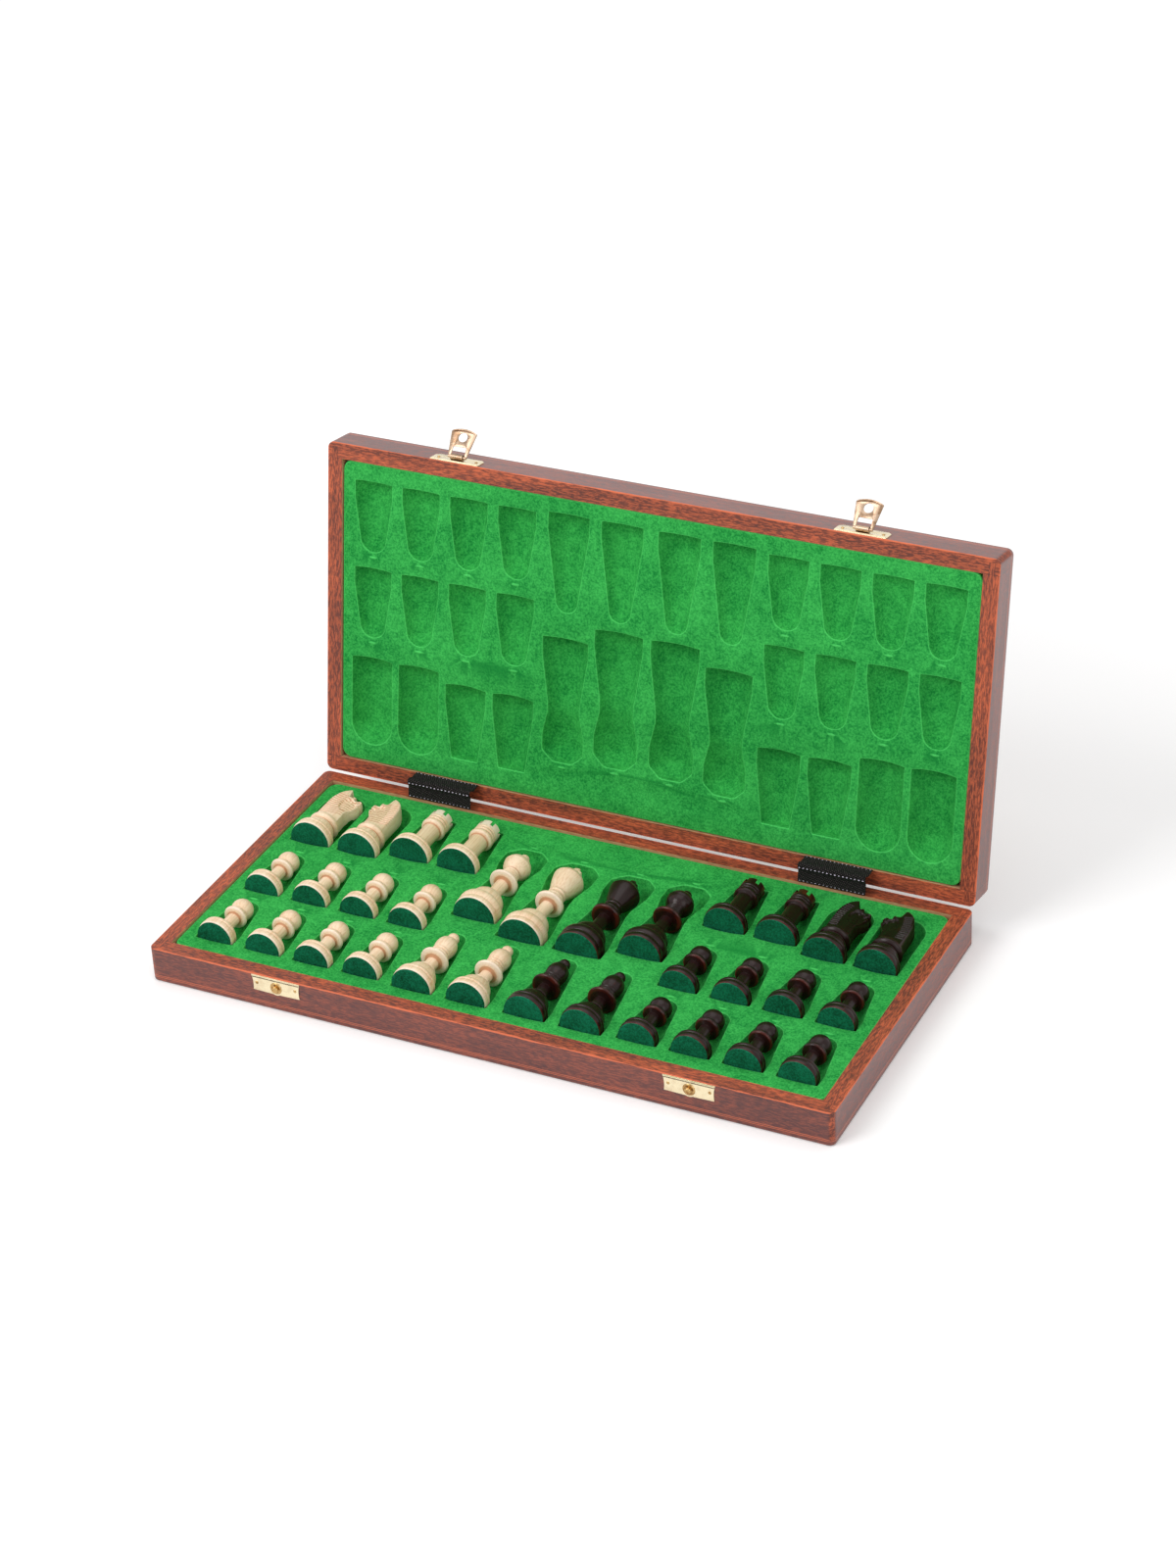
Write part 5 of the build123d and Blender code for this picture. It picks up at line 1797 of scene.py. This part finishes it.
def stitch_places(points, place):
    """Where one strap's rows of stitches go: at both hems and along the crease."""
    hardware = settings()[2]
    rise = (points[1] - points[0]).normalized()
    outward = Vector((0, -rise.z, rise.y))
    half_t = hardware.strap_thickness / 2
    lower_hem = points[0] + rise * 0.9 * MM + outward * half_t
    crease_row = points[8] + outward * half_t
    upper_hem = points[-1] + Vector((0, -0.9 * MM, half_t))
    rows = [
        (lower_hem, outward, 0.7),
        (crease_row, outward, 1.0),
        (upper_hem, Vector((0, 0, 1)), 0.7),
    ]
    places = []
    count = int(hardware.strap_width / hardware.stitch_pitch)
    for middle, normal, size in rows:
        for i in range(count):
            x = place + (i - (count - 1) / 2) * hardware.stitch_pitch
            spot = frame_of(Vector((1, 0, 0)), normal, middle + Vector((x, 0, 0)))
            places.append((spot, size))
    return places


# ------------------------------------------------------------------ fitting the brass
def latch_plates(half):
    """A half's two latch plates, with the base's studs or the lid's rolled tongues."""
    box, _, hardware, _ = settings()
    shape = bmesh.new()
    for place in fitting_places():
        spot = front_of(half) @ Matrix.Translation((place, 0, 0))
        outline = plate_outline(hardware, half == "lid")
        plate = sheet_metal(
            [outline] + nail_holes(hardware), hardware.plate_thickness, 0.12 * MM
        )
        lift = Matrix.Translation((0, 0, hardware.plate_thickness / 2))
        add_mesh(shape, plate, spot @ lift, material=0)
        add_mesh(shape, plate_lip(hardware), spot, material=0)
        if half == "base":
            y = hardware.flap_axis_depth - hardware.stud_distance + box.mouth_gap
            stand = Matrix.Translation((0, y, 0)) @ Matrix.Rotation(pi / 2, 4, "X")
            stud = stud_mesh(hardware, finish_named("latch_brass"))
            add_mesh(shape, stud, spot @ stand, material=1)
        else:
            thickness = hardware.roll_radius - hardware.bar_radius - 0.1 * MM
            roll = strip(roll_path(hardware), hardware.roll_length, thickness)
            add_mesh(shape, roll, spot, material=1)
    return shape


def swung_flap(place):
    """A latch flap, swung out from the lid's front."""
    hardware = settings()[2]
    front = front_of("lid")
    turned_by = front.to_3x3()
    axis_point = front @ Vector((place, -hardware.flap_axis_depth, hardware.flap_axis_height))
    along = (turned_by @ Vector((0, 1, 0))) * cos(hardware.flap_angle)
    along += (turned_by @ Vector((0, 0, 1))) * sin(hardware.flap_angle)
    across = turned_by @ Vector((1, 0, 0))
    shape = flap_mesh(hardware, finish_named("latch_brass"))
    spot = frame_of(across, across.cross(along), axis_point)
    bmesh.ops.transform(shape, matrix=spot, verts=shape.verts)
    return shape


# ------------------------------------------------------------------ stage
LAMPS = (  # name, place, size and power
    ("key", (-1.1, -1.6, 1.9), 1.3, 30),
    ("fill", (1.9, -1.2, 1.3), 1.6, 10),
    ("top", (0.0, 0.3, 2.2), 1.8, 12),
)
LAMPS_AIM = Vector((0, 0.05, 0.08))
FLOOR_REACH = 3.0
FLOOR_LEVEL = -0.0003
CAMERA_PLACE = (0.93896, -1.77209, 1.36213)
CAMERA_TURN = (58.473, 2.6466, 25.6424)
CAMERA_LENS = 85.318


def seen_rays(tree):
    """1 where the floor or the sky is seen, mirrored or seen through glass, and 0 elsewhere."""
    ray = place_node(tree, "ShaderNodeLightPath").outputs
    seen = ray["Is Camera Ray"]
    for other in ("Is Glossy Ray", "Is Transmission Ray"):
        both = place_node(tree, "ShaderNodeMath", {0: seen, 1: ray[other]}, operation="MAXIMUM")
        seen = both.outputs[0]
    return seen


def floor_finish():
    """A pale floor that takes the box's shadow and glows more where it is farther off."""
    colour = solid(settings()[3].floor)
    recipe = Recipe("studio_floor")
    seen = seen_rays(recipe.tree)
    base = recipe.add("ShaderNodeBsdfDiffuse", {"Color": colour})
    away = recipe.add("ShaderNodeVectorMath", {0: recipe.position()}, operation="LENGTH")
    level = recipe.between(away.outputs["Value"], 0.45, 1.1, 0.16, 0.4)
    glow = recipe.add(
        "ShaderNodeEmission", {"Color": colour, "Strength": recipe.times(seen, level)}
    )
    return recipe.ended(
        recipe.add("ShaderNodeAddShader", {0: base.outputs[0], 1: glow.outputs[0]})
    )


def lay_floor():
    """A level square of floor under the box."""
    floor = bmesh.new()
    corners = [(-1, -1), (1, -1), (1, 1), (-1, 1)]
    floor.faces.new(
        [floor.verts.new((x * FLOOR_REACH, y * FLOOR_REACH, FLOOR_LEVEL)) for x, y in corners]
    )
    link("studio_floor", to_mesh(floor, "floor"), [floor_finish()])


def light_world():
    """A white sky, brighter where it is seen than where it lights."""
    world = bpy.data.worlds.new("studio")
    world.use_nodes = True
    tree = world.node_tree
    tree.nodes.clear()
    level = place_node(
        tree, "ShaderNodeMapRange", {"Value": seen_rays(tree), "To Min": 0.5, "To Max": 1.0}
    )
    sky = place_node(
        tree, "ShaderNodeBackground", {"Color": (1, 1, 1, 1), "Strength": level.outputs[0]}
    )
    place_node(tree, "ShaderNodeOutputWorld", {"Surface": sky.outputs[0]})
    bpy.context.scene.world = world


def hang_lamps():
    """Three soft square lamps, all aimed at the box."""
    for name, place, size, power in LAMPS:
        lamp = bpy.data.lights.new(name, "AREA")
        lamp.shape = "SQUARE"
        lamp.size = size
        lamp.energy = power
        light = link(name, lamp)
        light.location = place
        aim = LAMPS_AIM - Vector(place)
        light.rotation_euler = aim.to_track_quat("-Z", "Y").to_euler()


def set_camera():
    """The camera, from the right front and above."""
    eye = bpy.data.cameras.new("camera")
    eye.lens = CAMERA_LENS
    eye.sensor_width = 36
    camera = link("camera", eye)
    camera.location = CAMERA_PLACE
    camera.rotation_euler = Euler([radians(angle) for angle in CAMERA_TURN])
    bpy.context.scene.camera = camera


# ------------------------------------------------------------------ operators
class SetStage(bpy.types.Operator):
    """Set up the pale floor, the soft lights and the camera"""

    bl_idname = "chess_box.stage"
    bl_label = "Set the stage"
    bl_options = {"REGISTER", "UNDO"}

    def execute(self, context):
        context.scene.view_settings.view_transform = "Standard"
        lay_floor()
        light_world()
        hang_lamps()
        set_camera()
        return {"FINISHED"}


class MixFinishes(bpy.types.Operator):
    """Make every finish and give the carried-over parts theirs"""

    bl_idname = "chess_box.finishes"
    bl_label = "Mix the finishes"
    bl_options = {"REGISTER", "UNDO"}

    def execute(self, context):
        finish = settings()[3]
        for half in HALVES:
            long_grain = stained_wood(f"{half}_stained_beech_long", half, True)
            side_grain = stained_wood(f"{half}_stained_beech_side", half, False)
            for rail in ("front", "back"):
                dress(f"{half}_{rail}_rail", long_grain)
            for rail in ("left", "right"):
                dress(f"{half}_{rail}_rail", side_grain)
            dress(f"{half}_board_panel", long_grain)
            dress(f"{half}_dark_squares", veneer(f"{half}_dark_veneer", half, False))
            dress(f"{half}_light_squares", veneer(f"{half}_light_veneer", half, True))
        dull = brass_metal("hinge_brass", 0.32)
        for node in ("hinge_base_leaves", "hinge_lid_leaves", "hinge_pins"):
            dress(node, dull)
        brass_metal("latch_brass", 0.18, tarnish_and_dark_reflection=0.2)
        # the flaps and rolled tongues: a darker, greyer copy of the brass, a painted dark reflection
        brass_metal("flap_brass_dark_reflection", 0.24, tint=(0.46, 0.38, 0.4), tarnish_and_dark_reflection=0.7)
        brass_metal("nail_brass", 0.2, tint=(0.64, 0.48, 0.3), tarnish_and_dark_reflection=0.8)
        light_wood()
        dark_wood()
        fibre("green_flocking", finish.flock, finish.flock_shade, 640, 0.35, 0.6)
        fibre("green_felt", finish.felt, finish.felt_shade, 700, 0.25, 0.6)
        strap_cloth()
        plain_thread()
        return {"FINISHED"}


class MouldInserts(bpy.types.Operator):
    """Mould the flocked insert of both halves"""

    bl_idname = "chess_box.inserts"
    bl_label = "Mould the inserts"
    bl_options = {"REGISTER", "UNDO"}

    def execute(self, context):
        for half in HALVES:
            shape = insert_mesh()
            bmesh.ops.transform(shape, matrix=mouth(half), verts=shape.verts)
            flock = finish_named("green_flocking")
            piece = finish_mesh(shape, f"{half}_insert", [flock], crease=50)
            take_place(piece, half, f"{half}_tray")
        return {"FINISHED"}


class TurnMen(bpy.types.Operator):
    """Turn and carve the thirty-two men and glue on their felts"""

    bl_idname = "chess_box.men"
    bl_label = "Turn the men"
    bl_options = {"REGISTER", "UNDO"}

    def execute(self, context):
        level = hinge_point().z
        felt = finish_named("green_felt")
        for side, colour in ((-1, "light"), (1, "dark")):
            wood = finish_named(f"{colour}_men_wood")
            made, numbers = {}, {}
            for kind, place, x, row in MEN_ROWS:
                facing = 1 if (place == 5) == (side < 0) else -1
                key = (kind, facing if kind == "knight" else 0)
                if key not in made:
                    made[key] = man_mesh(kind, facing, wood, felt)
                numbers[kind] = numbers.get(kind, 0) + 1
                single = kind in ("king", "queen")
                name = f"{colour}_{kind}" if single else f"{colour}_{kind}_{numbers[kind]}"
                mesh = made[key].copy()
                place_at = (side * x * MM, row * MM, level - man_drop(kind))
                mesh.transform(Matrix.Translation(place_at))
                piece = link(f"{name}_man", shaded(mesh, 38), [wood, felt])
                take_place(piece, name, name)
        return {"FINISHED"}


class FitLatches(bpy.types.Operator):
    """Press the latch plates and the flaps"""

    bl_idname = "chess_box.latches"
    bl_label = "Fit the latches"
    bl_options = {"REGISTER", "UNDO"}

    def execute(self, context):
        brass = finish_named("latch_brass")
        flap = finish_named("flap_brass_dark_reflection")
        for half, name, second in (
            ("base", "catch_plates", finish_named("nail_brass")),
            ("lid", "hinge_plates", flap),
        ):
            piece = finish_mesh(latch_plates(half), name, [brass, second])
            take_place(piece, half, f"latch_{name}")
        offset = settings()[2].offset
        for place, side in ((offset, "left"), (-offset, "right")):
            name = f"latch_flap_{side}"
            piece = finish_mesh(swung_flap(place), f"{name}_brass", [flap])
            take_place(piece, name, name)
        return {"FINISHED"}


class DriveFasteners(bpy.types.Operator):
    """Set the nails and screws of both halves"""

    bl_idname = "chess_box.fasteners"
    bl_label = "Drive the nails and screws"
    bl_options = {"REGISTER", "UNDO"}

    def execute(self, context):
        box, _, hardware, _ = settings()
        brass = finish_named("latch_brass")
        gilt = finish_named("nail_brass")
        middle = -hardware.plate_edge_gap - hardware.plate_height / 2
        row = (box.half_depth - hardware.leaf_width) / 2
        nail = small_part(nail_part(brass, hardware.nail_head))
        screw = small_part(screw_part(brass, hardware.screw_head))
        for half in HALVES:
            nails, screws = [], []
            for place in fitting_places():
                for side in SIDES:
                    nail_at = (
                        place + side * hardware.nail_spacing / 2,
                        middle,
                        hardware.plate_thickness,
                    )
                    screw_at = (place + side * hardware.screw_spacing / 2, row, 0)
                    nails.append(front_of(half) @ Matrix.Translation(nail_at))
                    slot_turn = Matrix.Rotation(radians(35 + 50 * side), 4, "Z")
                    screws.append(mouth(half) @ Matrix.Translation(screw_at) @ slot_turn)
            shape = bmesh.new()
            add_mesh(shape, scattered(nail, nails, 1.0, 0.06, gilt), material=1)
            add_mesh(shape, scattered(screw, screws, 1.0, 0.0, brass), material=0)
            piece = finish_mesh(shape, f"{half}_nails_and_screws", [brass, gilt])
            take_place(piece, half, f"{half}_fasteners")
        discard(nail)
        discard(screw)
        return {"FINISHED"}


class SewStraps(bpy.types.Operator):
    """Sew the straps that cover the hinges"""

    bl_idname = "chess_box.straps"
    bl_label = "Sew the straps"
    bl_options = {"REGISTER", "UNDO"}

    def execute(self, context):
        hardware = settings()[2]
        cloth = finish_named("strap_twill")
        thread = finish_named("lilac_thread")
        points = strap_centre_line()
        _, crease, rise, *_ = strap_path()
        bend = 2.2 * MM
        start = crease - rise * bend
        end = crease + Vector((0, bend, 0))
        stitch = small_part(stitch_part(hardware, thread), to_z=False)
        for place, side in zip(fitting_places(), ("left", "right")):
            shape = strap_shape(points, place)
            strap = finish_mesh(shape, f"hinge_strap_{side}", [cloth], crease=60)
            seams = bmesh.new()
            for size in (1.0, 0.7):
                places = [spot for spot, part in stitch_places(points, place) if part == size]
                add_mesh(seams, scattered(stitch, places, size, 0.25, thread), material=0)
            sewing = finish_mesh(seams, f"hinge_strap_stitches_{side}", [thread])
            for piece in (strap, sewing):
                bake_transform(piece, "strap_lower", "strap_upper", start=tuple(start), end=tuple(end))
            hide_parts("hinge_straps_lower", "hinge_straps_upper")
        discard(stitch)
        return {"FINISHED"}


class ChessBoxPanel(bpy.types.Panel):
    """Lists the steps that dress the box"""

    bl_idname = "VIEW3D_PT_chess_box"
    bl_label = "Chess Box"
    bl_space_type = "VIEW_3D"
    bl_region_type = "UI"
    bl_category = "Chess Box"

    def draw(self, context):
        for step in STEPS:
            self.layout.operator(step.bl_idname)
        for group in settings():
            column = self.layout.column()
            for label in group.bl_rna.properties.keys():
                if label not in ("name", "rna_type"):
                    column.prop(group, label)


STEPS = (SetStage, MixFinishes, MouldInserts, TurnMen, FitLatches, DriveFasteners, SewStraps)
GROUPS = (
    ("chess_box", ChessBoxSizes),
    ("chess_men", ChessMenSizes),
    ("chess_hardware", ChessHardwareSizes),
    ("chess_finishes", ChessFinishes),
)


def register():
    for label, group in GROUPS:
        bpy.utils.register_class(group)
        setattr(bpy.types.Scene, label, PointerProperty(type=group))
    for step in STEPS:
        bpy.utils.register_class(step)
    bpy.utils.register_class(ChessBoxPanel)


def unregister():
    bpy.utils.unregister_class(ChessBoxPanel)
    for step in reversed(STEPS):
        bpy.utils.unregister_class(step)
    for label, group in reversed(GROUPS):
        delattr(bpy.types.Scene, label)
        bpy.utils.unregister_class(group)


def main():
    register()
    for step in STEPS:
        getattr(bpy.ops.chess_box, step.bl_idname.split(".")[1])()


if __name__ == "__main__":
    main()
